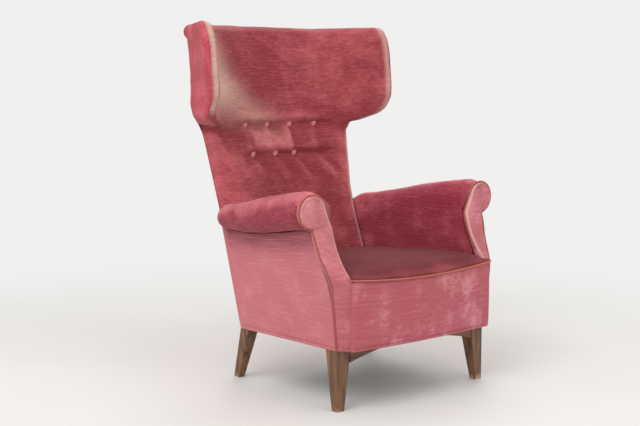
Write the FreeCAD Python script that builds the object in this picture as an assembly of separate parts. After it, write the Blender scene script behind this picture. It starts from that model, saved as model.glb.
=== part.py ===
import FreeCAD, Part
import math
import os
from FreeCAD import Vector

os.makedirs("parts", exist_ok=True)

# Wingback armchair, in millimetres. +X is the sitter's left-to-right seen from the front,
# the front of the chair faces -Y and the floor is z = 0. The origin is on the floor, in the
# middle of the chair's outer box.

# Outer box
DEPTH = 876.0
HEIGHT = 1092.0
FRONT_Y = -DEPTH / 2
REAR_Y = DEPTH / 2

# The body: where the covers end above the floor, and the front corners above the legs
HEM = 174.0
CORNER_X = 297.0
CORNER_Y = -374.0

# The back leans on one straight plane, from its foot at the rear hem up to the top roll
REAR_HEM = 165.0
REAR_FOOT_Y = 81.0
RAKE = 0.375
RAKE_DEG = math.degrees(math.atan(RAKE))

# Wood sections
LEG_TOP = 49.0
LEG_FOOT_X = 26.0
LEG_FOOT_Y = 23.0
RAIL = 25.0
RAIL_TOP = 256.0
RAIL_LOW = 180.0
POST_W = 45.0
POST_T = 25.0
TENON = 22.0

# Covers and seams
CLOTH = 3.5
GAP = 0.4
CORD_R = 2.5

# Seat
DECK = 300.0
SEAT_TOP = 400.0
SEAM_MID = 360.0
SEAM_END = 373.0

# Arms
ARM_IN_FRONT = 270.0
ARM_IN_REAR = 231.0
FACE_Y = -320.0
FACE_T = 14.0
SCROLL_X = 337.0
SCROLL_Z = 555.0
SCROLL_R = 45.0

# Tufting: two rows of four, one button lost from the lower row
BUTTON_R = 10.0
BUTTON_H = 7.0
TIE_R = 0.9
BUTTON_ROWS = ((775.0, (-142.0, -46.0, 46.0, 142.0)), (682.0, (-134.0, -38.0, 38.0)))
LOST_BUTTON = (682.0, 134.0)
BACK_DEPTH = 52.0
TUFT_R = 55.0
TUFT_DEEP = 11.0


def save(name, shape):
    shape.exportStep("parts/" + name + ".step")


def box(x0, x1, y0, y1, z0, z1):
    return Part.makeBox(x1 - x0, y1 - y0, z1 - z0, Vector(x0, y0, z0))


def face(points):
    return Part.Face(Part.makePolygon([Vector(*p) for p in points] + [Vector(*points[0])]))


def side_prism(outline, x0, x1):
    """A solid with the side outline (y, z), from x0 to x1."""
    return face([(x0, y, z) for y, z in outline]).extrude(Vector(x1 - x0, 0, 0))


def plan_prism(outline, z0, z1):
    """A solid with the plan outline (x, y), from z0 to z1."""
    return face([(x, y, z0) for x, y in outline]).extrude(Vector(0, 0, z1 - z0))


def ruled(wires):
    """A solid through the wires, in straight-lined faces, with its faces turned outward."""
    loft = Part.makeLoft(wires, True, True)
    if loft.Volume < 0:
        loft.reverse()
    return loft


def polygon(points):
    return Part.makePolygon([Vector(*p) for p in points] + [Vector(*points[0])])


def line(a, b):
    return Part.LineSegment(Vector(*a), Vector(*b)).toShape()


def arc(a, mid, b):
    return Part.Arc(Vector(*a), Vector(*mid), Vector(*b)).toShape()


def join(shapes):
    """Touching solids made into one."""
    whole = shapes[0].fuse(shapes[1:])
    return whole.removeSplitter()


def group(shapes):
    return Part.makeCompound([s for shape in shapes for s in shape.Solids])


def mirrored(shape):
    return shape.mirror(Vector(0, 0, 0), Vector(1, 0, 0))


def save_pair(name, right):
    save(name + "_right", right)
    save(name + "_left", mirrored(right))


def between(rows, value):
    """Reads a table of rows (key, a, b, ...) at a value of the key, in straight steps."""
    for low, high in zip(rows, rows[1:]):
        if value <= high[0]:
            break
    part = (value - low[0]) / (high[0] - low[0])
    return [a + (b - a) * part for a, b in zip(low[1:], high[1:])]


def rear(z):
    """Y of the back's rear plane at a height."""
    return REAR_FOOT_Y + RAKE * (z - REAR_HEM)


def on_back(shape):
    """Stands a shape, made with the rear plane at y = 0 and its foot at z = 0, on the back's lean."""
    leant = shape.copy()
    leant.rotate(Vector(0, 0, 0), Vector(1, 0, 0), -RAKE_DEG)
    leant.translate(Vector(0, REAR_FOOT_Y, REAR_HEM))
    return leant


def up_back(z):
    """Length along the leaning plane from its foot to a height."""
    return (z - REAR_HEM) / math.cos(math.radians(RAKE_DEG))


def tube(points, corner, radius):
    """A cord laid along straight runs with an arc at each turn."""
    nodes = [Vector(*p) for p in points]
    edges = []
    start = nodes[0]
    for before, here, after in zip(nodes, nodes[1:], nodes[2:]):
        into = (here - before).normalize()
        out = (after - here).normalize()
        turn = into.getAngle(out)
        cut = corner * math.tan(turn / 2)
        first = here - into * cut
        last = here + out * cut
        inward = (out - into).normalize()
        middle = here + inward * (corner / math.cos(turn / 2) - corner)
        edges.append(Part.LineSegment(start, first).toShape())
        edges.append(Part.Arc(first, middle, last).toShape())
        start = last
    edges.append(Part.LineSegment(start, nodes[-1]).toShape())
    path = Part.Wire(edges)
    ring = Part.Wire([Part.Circle(nodes[0], (nodes[1] - nodes[0]), radius).toShape()])
    return path.makePipeShell([ring], True, False)


# Front legs: square at the hem, tapered on the inner and rear faces only, with the square
# running on up as a corner post that takes the rails.
def front_leg():
    out_x = CORNER_X - CLOTH
    out_y = CORNER_Y + 2
    foot = polygon([(out_x, out_y, 0), (out_x - LEG_FOOT_X, out_y, 0),
                    (out_x - LEG_FOOT_X, out_y + LEG_FOOT_Y, 0), (out_x, out_y + LEG_FOOT_Y, 0)])
    top = polygon([(out_x, out_y, HEM), (out_x - LEG_TOP, out_y, HEM),
                   (out_x - LEG_TOP, out_y + LEG_TOP, HEM), (out_x, out_y + LEG_TOP, HEM)])
    post = box(out_x - LEG_TOP, out_x, out_y, out_y + LEG_TOP, HEM, RAIL_TOP)
    return join([ruled([foot, top]), post])


# Rear legs: kicked back below the hem, with a block above it that follows the back's lean.
def rear_leg():
    foot = polygon([(274, 140, 0), (252, 140, 0), (252, 115, 0), (274, 115, 0)])
    knee = polygon([(289, 82, REAR_HEM), (249, 82, REAR_HEM),
                    (249, 44, REAR_HEM), (289, 44, REAR_HEM)])
    lean = rear(RAIL_TOP) - REAR_FOOT_Y
    block = side_prism([(44, REAR_HEM), (77, REAR_HEM), (77 + lean, RAIL_TOP), (44 + lean, RAIL_TOP)],
                       249, 284)
    return join([ruled([foot, knee]), block])


# Seat rails, each with a tenon at both ends. The front one is arched below and shows at its ends.
def front_rail():
    y0 = CORNER_Y + 2
    x = CORNER_X - CLOTH - LEG_TOP
    lower = arc((-x, y0, 134), (0, y0, 167), (x, y0, 134))
    rest = [line((x, y0, 134), (x, y0, RAIL_TOP)), line((x, y0, RAIL_TOP), (-x, y0, RAIL_TOP)),
            line((-x, y0, RAIL_TOP), (-x, y0, 134))]
    board = Part.Face(Part.Wire([lower] + rest)).extrude(Vector(0, RAIL, 0))
    tenons = box(-x - TENON, x + TENON, y0 + 7, y0 + RAIL - 7, 190, 240)
    return join([board, tenons])


def side_rail():
    y0 = CORNER_Y + 2 + LEG_TOP
    board = box(262, 262 + RAIL, y0, 46, RAIL_LOW, RAIL_TOP)
    tenons = box(269, 280, y0 - TENON, 44 + TENON, 190, 240)
    return join([board, tenons])


def rear_rail():
    z0 = RAIL_LOW
    outline = [(rear(z0) - 34, z0), (rear(z0) - 8, z0), (rear(RAIL_TOP) - 8, RAIL_TOP),
               (rear(RAIL_TOP) - 34, RAIL_TOP)]
    board = side_prism(outline, -249, 249)
    tenon = [(rear(200) - 27, 200), (rear(200) - 15, 200), (rear(236) - 15, 236), (rear(236) - 27, 236)]
    return join([board, side_prism(tenon, -249 - TENON, 249 + TENON)])


# Triangular blocks that brace the four corners inside the rails, and their screws.
def corner_blocks():
    blocks = []
    screws = []
    size = 62
    low, high = HEM + 14, RAIL_TOP - 16
    rear_y = rear(low) - 36
    for side in (1, -1):
        front = [(side * 261, CORNER_Y + LEG_TOP + 3), (side * (261 - size), CORNER_Y + LEG_TOP + 3),
                 (side * 261, CORNER_Y + LEG_TOP + 3 + size)]
        back = [(side * 248, rear_y), (side * (248 - size), rear_y), (side * 248, rear_y - size)]
        for (x, y), points, way in ((front[0], front, 1), (back[0], back, -1)):
            block = plan_prism(points, low, high)
            for z in (low + 18, high - 18):
                middle = Vector(x - side * size / 2, y + way * size / 2, z)
                head = middle + Vector(-side * 0.5, way * 0.5, 0)
                along = Vector(side, -way, 0)
                shank = Part.makeCylinder(2.4, 30, head, along)
                cap = Part.makeCone(4.6, 2.4, 3, head, along)
                screw = shank.fuse(cap).removeSplitter()
                block = block.cut(screw)
                screws.append(screw)
            blocks.append(block)
    return group(blocks), group(screws)


# Back posts and rails: the frame lies close behind the rear cover, on the same lean. The posts
# stand on the rear legs and draw in above the arms.
POST_ROWS = ((RAIL_TOP, 273.0), (500.0, 246.0), (HEIGHT - 55, 245.0))


def back_post():
    wires = []
    for z, out in POST_ROWS:
        v = up_back(z)
        wires.append(polygon([(out, -4, v), (out - POST_W, -4, v),
                              (out - POST_W, -4 - POST_T, v), (out, -4 - POST_T, v)]))
    return on_back(ruled(wires))


def post_inner(z):
    """The inner face of the back post at a height."""
    return between(POST_ROWS, z)[0] - POST_W


def back_rail(z, tall):
    """A rail from post to post, with tenons, its middle at a height."""
    middle = up_back(z)
    half_low = post_inner(z - tall / 2)
    half_high = post_inner(z + tall / 2)
    low, high = middle - tall / 2, middle + tall / 2
    outline = [(-half_low, -5, low), (half_low, -5, low), (half_high, -5, high), (-half_high, -5, high)]
    board = face(outline).extrude(Vector(0, -POST_T + 2, 0))
    reach = post_inner(z) + TENON
    tenon = box(-reach, reach, -21, -12, low + 9, high - 9)
    return on_back(join([board, tenon]))


# Wing frame: a sawn board that leaves the post and flares forward inside the wing.
WING_FLARE = 21.5
WING_ROOT = 253.0


def wing_board():
    lean = RAKE / math.cos(math.radians(WING_FLARE))
    middle = 950
    outline = [(14 - (middle - 850) * -lean, 850), (186, 866), (206, 900), (214, 1012), (196, 1044),
               (14 - (1050 - middle) * lean, 1050)]
    points = [(-9, -ahead, z) for ahead, z in outline]
    board = face(points).extrude(Vector(18, 0, 0))
    board.rotate(Vector(0, 0, 0), Vector(0, 0, 1), WING_FLARE)
    board.translate(Vector(WING_ROOT, rear(middle) - 20, 0))
    return board


# Sections of the inside back with its wings, at one height each. For a height they give the
# half width of the rear edge, the outermost x of the wing's front edge, how far that edge is
# ahead of the rear plane, the turn of its rounded front, where the straight inside of the wing
# ends (x, and ahead of the rear plane), and how deep the middle is.
BACK_ROWS = (
    (DECK, 228, 226, 78, 12, 190, 75, 60),
    (470, 228, 226, 75, 12, 190, 72, 56),
    (512, 275, 228, 75, 12, 192, 72, 55),
    (647, 276, 252, 75, 12, 215, 72, BACK_DEPTH),
    (746, 279, 272, 78, 14, 235, 77, BACK_DEPTH),
    (770, 285, 290, 100, 30, 245, 90, BACK_DEPTH),
    (790, 293, 325, 135, 60, 250, 96, BACK_DEPTH),
    (808, 299, 356, 175, 80, 252, 102, BACK_DEPTH),
    (832, 300, 368, 206, 90, 254, 106, 54),
    (872, 290, 370, 240, 90, 252, 110, 55),
    (950, 272, 371, 264, 90, 248, 113, 57),
    (1046, 258, 371, 284, 90, 242, 117, 60),
    (1068, 256, 370, 282, 90, 240, 116, 60),
    (1082, 253, 365, 268, 90, 237, 112, 57),
    (HEIGHT, 246, 350, 236, 90, 230, 103, 50),
)
WING_TIP_R = 20.0

# The wings' stuffing is a piece of its own, from the post's outer face outward and above the arms
WING_PAD_X = 246.0
WING_PAD_Z = 752.0


def back_section(row):
    z, rear_half, tip_x, depth, turn, in_x, in_depth, middle = row
    back_y = rear(z)
    radius = WING_TIP_R - CLOTH
    centre = Vector(tip_x - WING_TIP_R, back_y - depth + WING_TIP_R, z)
    corner = Vector(rear_half - CLOTH, back_y - CLOTH - GAP, z)
    ahead = centre - corner
    ahead = ahead.normalize() if ahead.x > 0 else Vector(0, -1, 0)
    heading = math.atan2(ahead.y, ahead.x)

    def rim(degrees):
        """A point of the rounded front edge, counted from its outer side."""
        angle = heading + math.radians(90 - degrees)
        if heading < 0:
            angle = heading + math.radians(90) - math.radians(degrees)
        return centre + Vector(math.cos(angle), math.sin(angle), 0) * radius

    outer, bevel, front = rim(0), rim(45), rim(90)
    late, inner = rim(90 + turn / 2), rim(90 + turn)
    inside = Vector(in_x, back_y - in_depth, z)

    def flip(v):
        return Vector(-v.x, v.y, v.z)

    edges = [Part.LineSegment(flip(corner), corner), Part.LineSegment(corner, outer),
             Part.Arc(outer, bevel, front), Part.Arc(front, late, inner),
             Part.LineSegment(inner, inside),
             Part.Arc(inside, Vector(0, back_y - middle, z), flip(inside)),
             Part.LineSegment(flip(inside), flip(inner)),
             Part.Arc(flip(inner), flip(late), flip(front)),
             Part.Arc(flip(front), flip(bevel), flip(outer)),
             Part.LineSegment(flip(outer), flip(corner))]
    return Part.Wire([e.toShape() for e in edges])


def middle_depth(z):
    return between([(r[0], r[7]) for r in BACK_ROWS], z)[0]


def on_front_of_back(x, z):
    """A point on the inside back, between the wings, and the way out of it."""
    inside_x, inside_depth, middle = between([(r[0], r[5], r[6], r[7]) for r in BACK_ROWS], z)
    depth = middle + (inside_depth - middle) * (x / inside_x) ** 2
    out = Vector(0, -math.cos(math.radians(RAKE_DEG)), math.sin(math.radians(RAKE_DEG)))
    return Vector(x, rear(z) - depth, z), out


def back_hollow():
    """The empty space between the posts, behind the webbing and ahead of the rear cover."""
    low, high = 380, 1010
    half_low, half_high = post_inner(low) + 1, post_inner(high) + 1
    outline = [(-half_low, 0, up_back(low)), (half_low, 0, up_back(low)),
               (half_high, 0, up_back(high)), (-half_high, 0, up_back(high))]
    return on_back(face(outline).extrude(Vector(0, -POST_T - 4, 0)))


def back_and_wings(cutters):
    """The stuffed inside back, sewn in at each button, and the stuffing of the right wing."""
    pad = ruled([back_section(row) for row in BACK_ROWS]).cut(back_hollow())
    for z, columns in BUTTON_ROWS + ((LOST_BUTTON[0], (LOST_BUTTON[1],)),):
        for x in columns:
            point, out = on_front_of_back(x, z)
            pad = pad.cut(Part.makeSphere(TUFT_R, point + out * (TUFT_R - TUFT_DEEP)))
    for cutter in cutters:
        pad = pad.cut(cutter)
    wing_room = box(WING_PAD_X, 420, -60, 480, WING_PAD_Z, HEIGHT + 10)
    return pad.cut(wing_room).cut(mirrored(wing_room)), pad.common(wing_room)


def buttons():
    """Domed buttons, the tie behind each, and the square needle holes the ties pass through."""
    domes = []
    ties = []
    holes = []
    up = Vector(0, math.sin(math.radians(RAKE_DEG)), math.cos(math.radians(RAKE_DEG)))
    across = Vector(TIE_R, 0, 0)
    dome_r = (BUTTON_R ** 2 + BUTTON_H ** 2) / (2 * BUTTON_H)
    rim = math.degrees(math.asin((dome_r - BUTTON_H) / dome_r))
    for z, columns in BUTTON_ROWS:
        for x in columns:
            point, out = on_front_of_back(x, z)
            seat = point - out * (TUFT_DEEP - 1)
            domes.append(Part.makeSphere(dome_r, seat + out * (BUTTON_H - dome_r), out, rim, 90, 360))
            length = max(middle_depth(z) * math.cos(math.radians(RAKE_DEG)) - 45, 8)
            ties.append(Part.makeCylinder(TIE_R, length, seat, out * -1))
            corners = [seat + across * i + up * (TIE_R * j) for i, j in ((1, 1), (-1, 1), (-1, -1), (1, -1))]
            holes.append(face([tuple(c) for c in corners]).extrude(out * -length))
    return group(domes), group(ties), group(holes)


# Outside of the wing: one stretched cover from the rear edge to the wing's rounded front.
def wing_outer():
    rows = [row for row in BACK_ROWS if row[0] >= 790]
    wires = []
    for z, rear_half, tip_x, depth, _turn, _x, _d, _m in rows:
        back = Vector(rear_half, rear(z) - 1, z)
        centre = Vector(tip_x - WING_TIP_R, rear(z) - depth + WING_TIP_R, z)
        ahead = (centre - back).normalize()
        out = Vector(-ahead.y, ahead.x, 0)
        front = centre + out * WING_TIP_R
        start = back - out * (CLOTH - GAP)
        end = front - out * (CLOTH - GAP)
        wires.append(polygon([tuple(back), tuple(front), tuple(end), tuple(start)]))
    return ruled(wires)


# The rear cover, flat on the leaning plane, and the stuffed roll along its top.
def outer_back():
    rows = [(REAR_HEM, 289), (438, 277), (520, 275), (746, 276), (790, 289), (832, 296), (872, 286),
            (950, 268), (1040, 254)]
    right = [(half, 0, up_back(z)) for z, half in rows]
    left = [(-x, y, v) for x, y, v in reversed(right)]
    return on_back(face(right + left).extrude(Vector(0, -CLOTH + GAP, 0)))


def top_roll():
    radius = 24.0
    half = 236.0
    centre = Vector(0, REAR_Y - radius, HEIGHT - radius)
    bar = Part.makeCylinder(radius, 2 * half, centre - Vector(half, 0, 0), Vector(1, 0, 0))
    ends = [Part.makeSphere(radius, centre + Vector(side * half, 0, 0)) for side in (1, -1)]
    return bar.fuse(ends).removeSplitter()


# Arm shapes. The outside leans out towards the front and dies into the rear plane.
def arm_outside(y, z):
    front = CORNER_X + 0.125 * (z - HEM)
    behind = 293 - 0.044 * (z - REAR_HEM)
    part = max(0.0, (y - FACE_Y) / (rear(z) - FACE_Y))
    return front + (behind - front) * part


def arm_inside(y):
    return ARM_IN_FRONT + (ARM_IN_REAR - ARM_IN_FRONT) * (y + 404) / 504


# Centre height, radius of the arm roll along the arm
ROLL_ROWS = ((-410, 556, 44), (-306, 557, 45), (-290, 557, 52), (-262, 554, 53), (-94, 529, 53),
             (16, 511, 48), (106, 502, 41), (150, 498, 38), (176, 495, 30))
PAD_T = 17.0


def arm_section(row):
    y, centre_z, radius = row
    low = centre_z - radius
    centre_x = arm_outside(y, low) - 5
    inner = arm_inside(y)
    top = (centre_x, y, centre_z + radius)
    outer = (centre_x + radius, y, centre_z)
    under = (centre_x + 3, y, low)
    half = radius * math.sqrt(0.5)
    first = (inner, y, centre_z - 14)
    shoulder = (centre_x - half * 1.06, y, centre_z + half * 0.94)
    corner = (inner + PAD_T, y, low)
    edges = [line((inner, y, DECK), first), arc(first, shoulder, top),
             arc(top, (centre_x + half, y, centre_z + half), outer),
             arc(outer, (centre_x + half, y, centre_z - half), under),
             line(under, corner), line(corner, (inner + PAD_T, y, DECK)),
             line((inner + PAD_T, y, DECK), (inner, y, DECK))]
    return Part.Wire(edges)


def arm_pad(cutters):
    """Inside arm and roll in one, cut at the front to the sweep of the facing."""
    pad = ruled([arm_section(row) for row in ROLL_ROWS])
    sweep = [(-372.5, DECK - 1), (-363, 364), (-347, 405), (-328, 438), (-315.5, 479),
             (-305.5, 515), (-305.5, 640), (220, 640), (220, DECK - 1)]
    pad = pad.common(side_prism(sweep, 200, 420))
    for cutter in cutters:
        pad = pad.cut(cutter)
    return max(pad.Solids, key=lambda s: s.Volume)


def arm_post():
    """The stump: a swept board on top of the front leg, under the front of the roll."""
    rows = [(RAIL_TOP, 275, -368), (364, 286, -358), (440, 294, -322), (500, 300, -300), (560, 304, -296)]
    wires = [polygon([(x, y, z), (x + 26, y, z), (x + 26, y + 44, z), (x, y + 44, z)])
             for z, x, y in rows]
    return ruled(wires)


def arm_rail(cutters):
    """The rail from the stump back to the post, inside the roll."""
    front = polygon([(303, -262, 516), (329, -262, 516), (329, -262, 554), (303, -262, 554)])
    back = polygon([(250, 190, 466), (272, 190, 466), (272, 190, 502), (250, 190, 502)])
    rail = ruled([front, back])
    for cutter in cutters:
        rail = rail.cut(cutter)
    return max(rail.Solids, key=lambda s: s.Volume)


# The outside arm cover: a stretched sheet from the hem to the underside of the roll.
SIDE_ROWS = ((-372, HEM, 300), (-361, 173.5, 364), (-342, 173, 405), (-325, 172.5, 438),
             (-316, 172, 479), (-304, 171.8, 504), (-262, 171, 500), (-172, 169.5, 485), (-94, 168, 475),
             (16, 166, 462), (80, REAR_HEM, 459), (112, 250, 459), (182, 438, 455))


def side_cover():
    wires = []
    for y, low, high in SIDE_ROWS:
        x_low, x_high = arm_outside(y, low), arm_outside(y, high)
        wires.append(polygon([(x_low, y, low), (x_high, y, high),
                              (x_high - CLOTH + GAP, y, high), (x_low - CLOTH + GAP, y, low)]))
    return ruled(wires)


# The facing: an upholstered board on the front of the arm. It stands upright over the leg,
# turned to the corner, sweeps back above the seat and ends in the scroll.
# Rows: height, outer x, y of its outer, inner, inner rear and outer rear corners
FACING_ROWS = ((HEM, 297, -374, -404, -373, -372.5), (DECK, 311, -376, -404, -373, -372.5),
               (364, 318, -376, -404, -366, -362), (405, 324, -357, -374, -350, -343),
               (438, 331, -340, -350, -330, -326), (479, 336, -331, -332, -316, -317),
               (515, 339, FACE_Y, FACE_Y - 1, FACE_Y + FACE_T, FACE_Y + FACE_T))


def arm_facing():
    wires = []
    for z, out_x, out_y, in_y, in_rear, out_rear in FACING_ROWS:
        wires.append(polygon([(out_x, out_y, z), (ARM_IN_FRONT, in_y, z),
                              (ARM_IN_FRONT, in_rear, z), (out_x, out_rear, z)]))
    half = SCROLL_R * math.sqrt(0.5)
    y = FACE_Y
    low = (SCROLL_X, y, SCROLL_Z - SCROLL_R)
    out = (SCROLL_X + SCROLL_R, y, SCROLL_Z)
    top = (SCROLL_X, y, SCROLL_Z + SCROLL_R)
    into = (SCROLL_X - SCROLL_R * math.cos(math.radians(22)), y,
            SCROLL_Z + SCROLL_R * math.sin(math.radians(22)))
    edges = [arc(low, (SCROLL_X + half, y, SCROLL_Z - half), out),
             arc(out, (SCROLL_X + half, y, SCROLL_Z + half), top),
             arc(top, (SCROLL_X - half * 0.78, y, SCROLL_Z + half * 1.18), into),
             line(into, (ARM_IN_FRONT, y, 510)), line((ARM_IN_FRONT, y, 510), low)]
    scroll = Part.Face(Part.Wire(edges)).extrude(Vector(0, FACE_T, 0))
    return ruled(wires).fuse(scroll).removeSplitter()


def facing_cord():
    """Gimp cord glued round the facing: up its outer edge, and over the scroll to the seat."""
    out = CORD_R + GAP
    outer = tube([(297 + out, -374, HEM + 2), (311 + out, -376, DECK), (318 + out, -376, 362),
                  (324 + out, -357, 405), (331 + out, -339, 440), (336 + out, -330, 479),
                  (339 + out, -319, 506)], 12, CORD_R)
    step = 23
    ring = (SCROLL_R + out) / math.cos(math.radians(step / 2))
    points = []
    for degrees in range(-80, 150, step):
        angle = math.radians(degrees)
        points.append((SCROLL_X + ring * math.cos(angle), FACE_Y + 4, SCROLL_Z + ring * math.sin(angle)))
    points += [(SCROLL_X - ring * 0.99, FACE_Y + 4, SCROLL_Z + 12), (ARM_IN_FRONT - out, FACE_Y + 2, 506),
               (ARM_IN_FRONT - out, -331, 479), (ARM_IN_FRONT - out, -349, 440),
               (ARM_IN_FRONT - out, -372, 407)]
    return outer, tube(points, 8, CORD_R)


# Seat: webbing, springs and hessian inside, then the crowned pad and its front border.
WEB_W = 50.0
WEB_T = 2.0
SPRING_R = 33.0
SPRING_WAIST = 9.0
SPRING_WIRE = 1.8
SPRING_TURNS = 5


def seat_webbing():
    straps = []
    low, middle, high = RAIL_LOW - 2 * WEB_T, RAIL_LOW - WEB_T, RAIL_LOW
    for x in (-190, -95, 0, 95, 190):
        straps.append(box(x - WEB_W / 2, x + WEB_W / 2, -346, 76, low, middle))
    for y in (-290, -200, -110, -20):
        straps.append(box(-280, 280, y - WEB_W / 2, y + WEB_W / 2, middle, high))
    return join(straps)


def seat_spring(tall):
    """One coil, narrower at its waist, standing on z = 0."""
    points = []
    steps = 8 * SPRING_TURNS
    for step in range(steps + 1):
        part = step / steps
        angle = 2 * math.pi * SPRING_TURNS * part
        radius = SPRING_R - SPRING_WAIST * math.sin(math.pi * part)
        points.append(Vector(radius * math.cos(angle), radius * math.sin(angle), tall * part))
    curve = Part.BSplineCurve()
    curve.interpolate(points)
    start = curve.FirstParameter
    ring = Part.Circle(curve.value(start), curve.tangent(start)[0], SPRING_WIRE).toShape()
    return Part.Wire([curve.toShape()]).makePipeShell([Part.Wire([ring])], True, True)


def seat_springs():
    base = RAIL_LOW + SPRING_WIRE + GAP
    spring = seat_spring(DECK - 8 - base)
    springs = []
    for x in (-150, 0, 150):
        for y in (-270, -155, -40):
            coil = spring.copy()
            coil.translate(Vector(x, y, base))
            springs.append(coil)
    return group(springs)


def spring_deck():
    return plan_prism([(-258, -345), (258, -345), (226, 50), (-226, 50)], DECK - 5, DECK - 3)


def seam_z(x):
    return SEAM_MID + (SEAM_END - SEAM_MID) * (x / ARM_IN_FRONT) ** 2


def bow_y(x):
    """The bowed front of the seat in plan."""
    return FRONT_Y + 5.5 + 14 * (x / 275.0) ** 2


def seat_pad():
    wires = []
    for x in (-274, -255, -190, -100, 0, 100, 190, 255, 274):
        crown = 5.0 * (1 - (x / 274.0) ** 2)
        front = bow_y(x) + (12 if abs(x) > 270 else 0)
        seam = seam_z(x)
        top = SEAT_TOP + crown - (10 if abs(x) > 270 else 0)
        edges = [line((x, -373, DECK), (x, -373, seam)), line((x, -373, seam), (x, front, seam)),
                 arc((x, front, seam), (x, front + 19, top - 15), (x, front + 80, top - 2)),
                 arc((x, front + 80, top - 2), (x, -180, top - 3), (x, 78, 372)),
                 line((x, 78, 372), (x, 50, DECK)), line((x, 50, DECK), (x, -373, DECK))]
        wires.append(Part.Wire(edges))
    pad = ruled(wires)
    plan = [(-274, -450), (274, -450), (274, -404.6), (ARM_IN_FRONT - 1, -404.6), (arm_inside(100) - 1, 100),
            (-arm_inside(100) + 1, 100), (-ARM_IN_FRONT + 1, -404.6), (-274, -404.6)]
    return pad.common(plan_prism(plan, DECK - 1, 500))


def seat_border():
    """The border below the seat's seam, bowed in plan, with its ends just ahead of the facings."""
    front = [line((-274, -404.6, HEM), (-274, bow_y(274) + 8, HEM)),
             arc((-274, bow_y(274) + 8, HEM), (-271, bow_y(274) + 1, HEM), (-264, bow_y(264), HEM)),
             arc((-264, bow_y(264), HEM), (0, bow_y(0), HEM), (264, bow_y(264), HEM)),
             arc((264, bow_y(264), HEM), (271, bow_y(274) + 1, HEM), (274, bow_y(274) + 8, HEM)),
             line((274, bow_y(274) + 8, HEM), (274, -404.6, HEM)),
             line((274, -404.6, HEM), (269.5, -404.6, HEM)), line((269.5, -404.6, HEM), (265, -374, HEM)),
             line((265, -374, HEM), (-265, -374, HEM)), line((-265, -374, HEM), (-269.5, -404.6, HEM)),
             line((-269.5, -404.6, HEM), (-274, -404.6, HEM))]
    body = Part.Face(Part.Wire(front)).extrude(Vector(0, 0, 210))
    cap = [line((-280, -450, 150), (280, -450, 150)), line((280, -450, 150), (280, -450, seam_z(280) - 1)),
           arc((280, -450, seam_z(280) - 1), (0, -450, seam_z(0) - 1), (-280, -450, seam_z(280) - 1)),
           line((-280, -450, seam_z(280) - 1), (-280, -450, 150))]
    return body.common(Part.Face(Part.Wire(cap)).extrude(Vector(0, 100, 0)))


def seat_cord():
    """Gimp cord along the seam between the seat and its border."""
    out = CORD_R + GAP
    right = [(x, bow_y(x) - out, seam_z(x) - 0.5) for x in (88, 175, 258)]
    right += [(277.2, bow_y(274) + 4, seam_z(274) - 0.5), (277.4, -405, seam_z(274) - 0.5)]
    left = [(-x, y, z) for x, y, z in reversed(right)]
    return tube(left + [(0, bow_y(0) - out, seam_z(0) - 0.5)] + right, 8, CORD_R)


# Cloth stretched over the bottom of the frame, tacked to the rails.
def dust_cover():
    rear_y = rear(HEM) - 36
    right = [(243, -346), (243, -321), (284, -321), (280, 42), (247, 42), (247, rear_y + 18)]
    left = [(-x, y) for x, y in reversed(right)]
    cloth = plan_prism(right + left, HEM, HEM + 1.5)
    tacks = []
    places = [(x, -340) for x in range(-210, 211, 60)] + [(x, rear_y + 10) for x in range(-210, 211, 60)]
    places += [(side * 272, y) for side in (1, -1) for y in range(-290, 31, 53)]
    for x, y in places:
        tacks.append(Part.makeCylinder(4, 1.4, Vector(x, y, HEM - 1.5), Vector(0, 0, 1)))
    return cloth, group(tacks)


def back_webbing():
    straps = []
    for z in (430, 520, 610, 700, 850, 940):
        half = post_inner(z) + 30
        v = up_back(z)
        straps.append(on_back(box(-half, half, -POST_T - 4 - WEB_T, -POST_T - 4, v - WEB_W / 2, v + WEB_W / 2)))
    return group(straps)


def dowels():
    """Pegs that lock the tenons in the posts, across the joints."""
    pegs = []
    for side in (1, -1):
        for z in (202, 228):
            pegs.append(Part.makeCylinder(4, 22, Vector(side * 262, CORNER_Y + 4, z), Vector(0, 1, 0)))
    return group(pegs)


# Wood
leg_fr = front_leg()
leg_rr = rear_leg()
rail_f = front_rail()
rail_s = side_rail()
rail_b = rear_rail()
pegs = dowels()
post = back_post()
top_rail = back_rail(1010, 60)
waist_rail = back_rail(735, 50)
low_rail = back_rail(400, 60)
wing = wing_board().cut(post)
stump = arm_post()
rail_a = arm_rail([post, stump])

pegs_right = group([s for s in pegs.Solids if s.CenterOfMass.x > 0])
leg_fr = leg_fr.cut(rail_f).cut(rail_s).cut(pegs_right)
leg_rr = leg_rr.cut(rail_s).cut(rail_b)
rail_f = rail_f.cut(pegs)
both_rails = group([top_rail, waist_rail, low_rail])
post_cut = post.cut(both_rails)

save_pair("leg_front", leg_fr)
save_pair("leg_rear", leg_rr)
save("rail_front", rail_f)
save_pair("rail_side", rail_s)
save("rail_rear", rail_b)
save("tenon_pegs", pegs)
blocks, screws = corner_blocks()
save("corner_blocks", blocks)
save("corner_block_screws", screws)
save_pair("back_post", post_cut)
save("back_rail_top", top_rail)
save("back_rail_waist", waist_rail)
save("back_rail_low", low_rail)
save_pair("wing_frame", wing)
save_pair("arm_post", stump)
save_pair("arm_rail", rail_a)

# Inside the seat and back
save("seat_webbing", seat_webbing())
save("seat_springs", seat_springs())
save("spring_deck", spring_deck())
save("back_webbing", back_webbing())
cloth, tacks = dust_cover()
save("dust_cover", cloth)
save("dust_cover_tacks", tacks)

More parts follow.
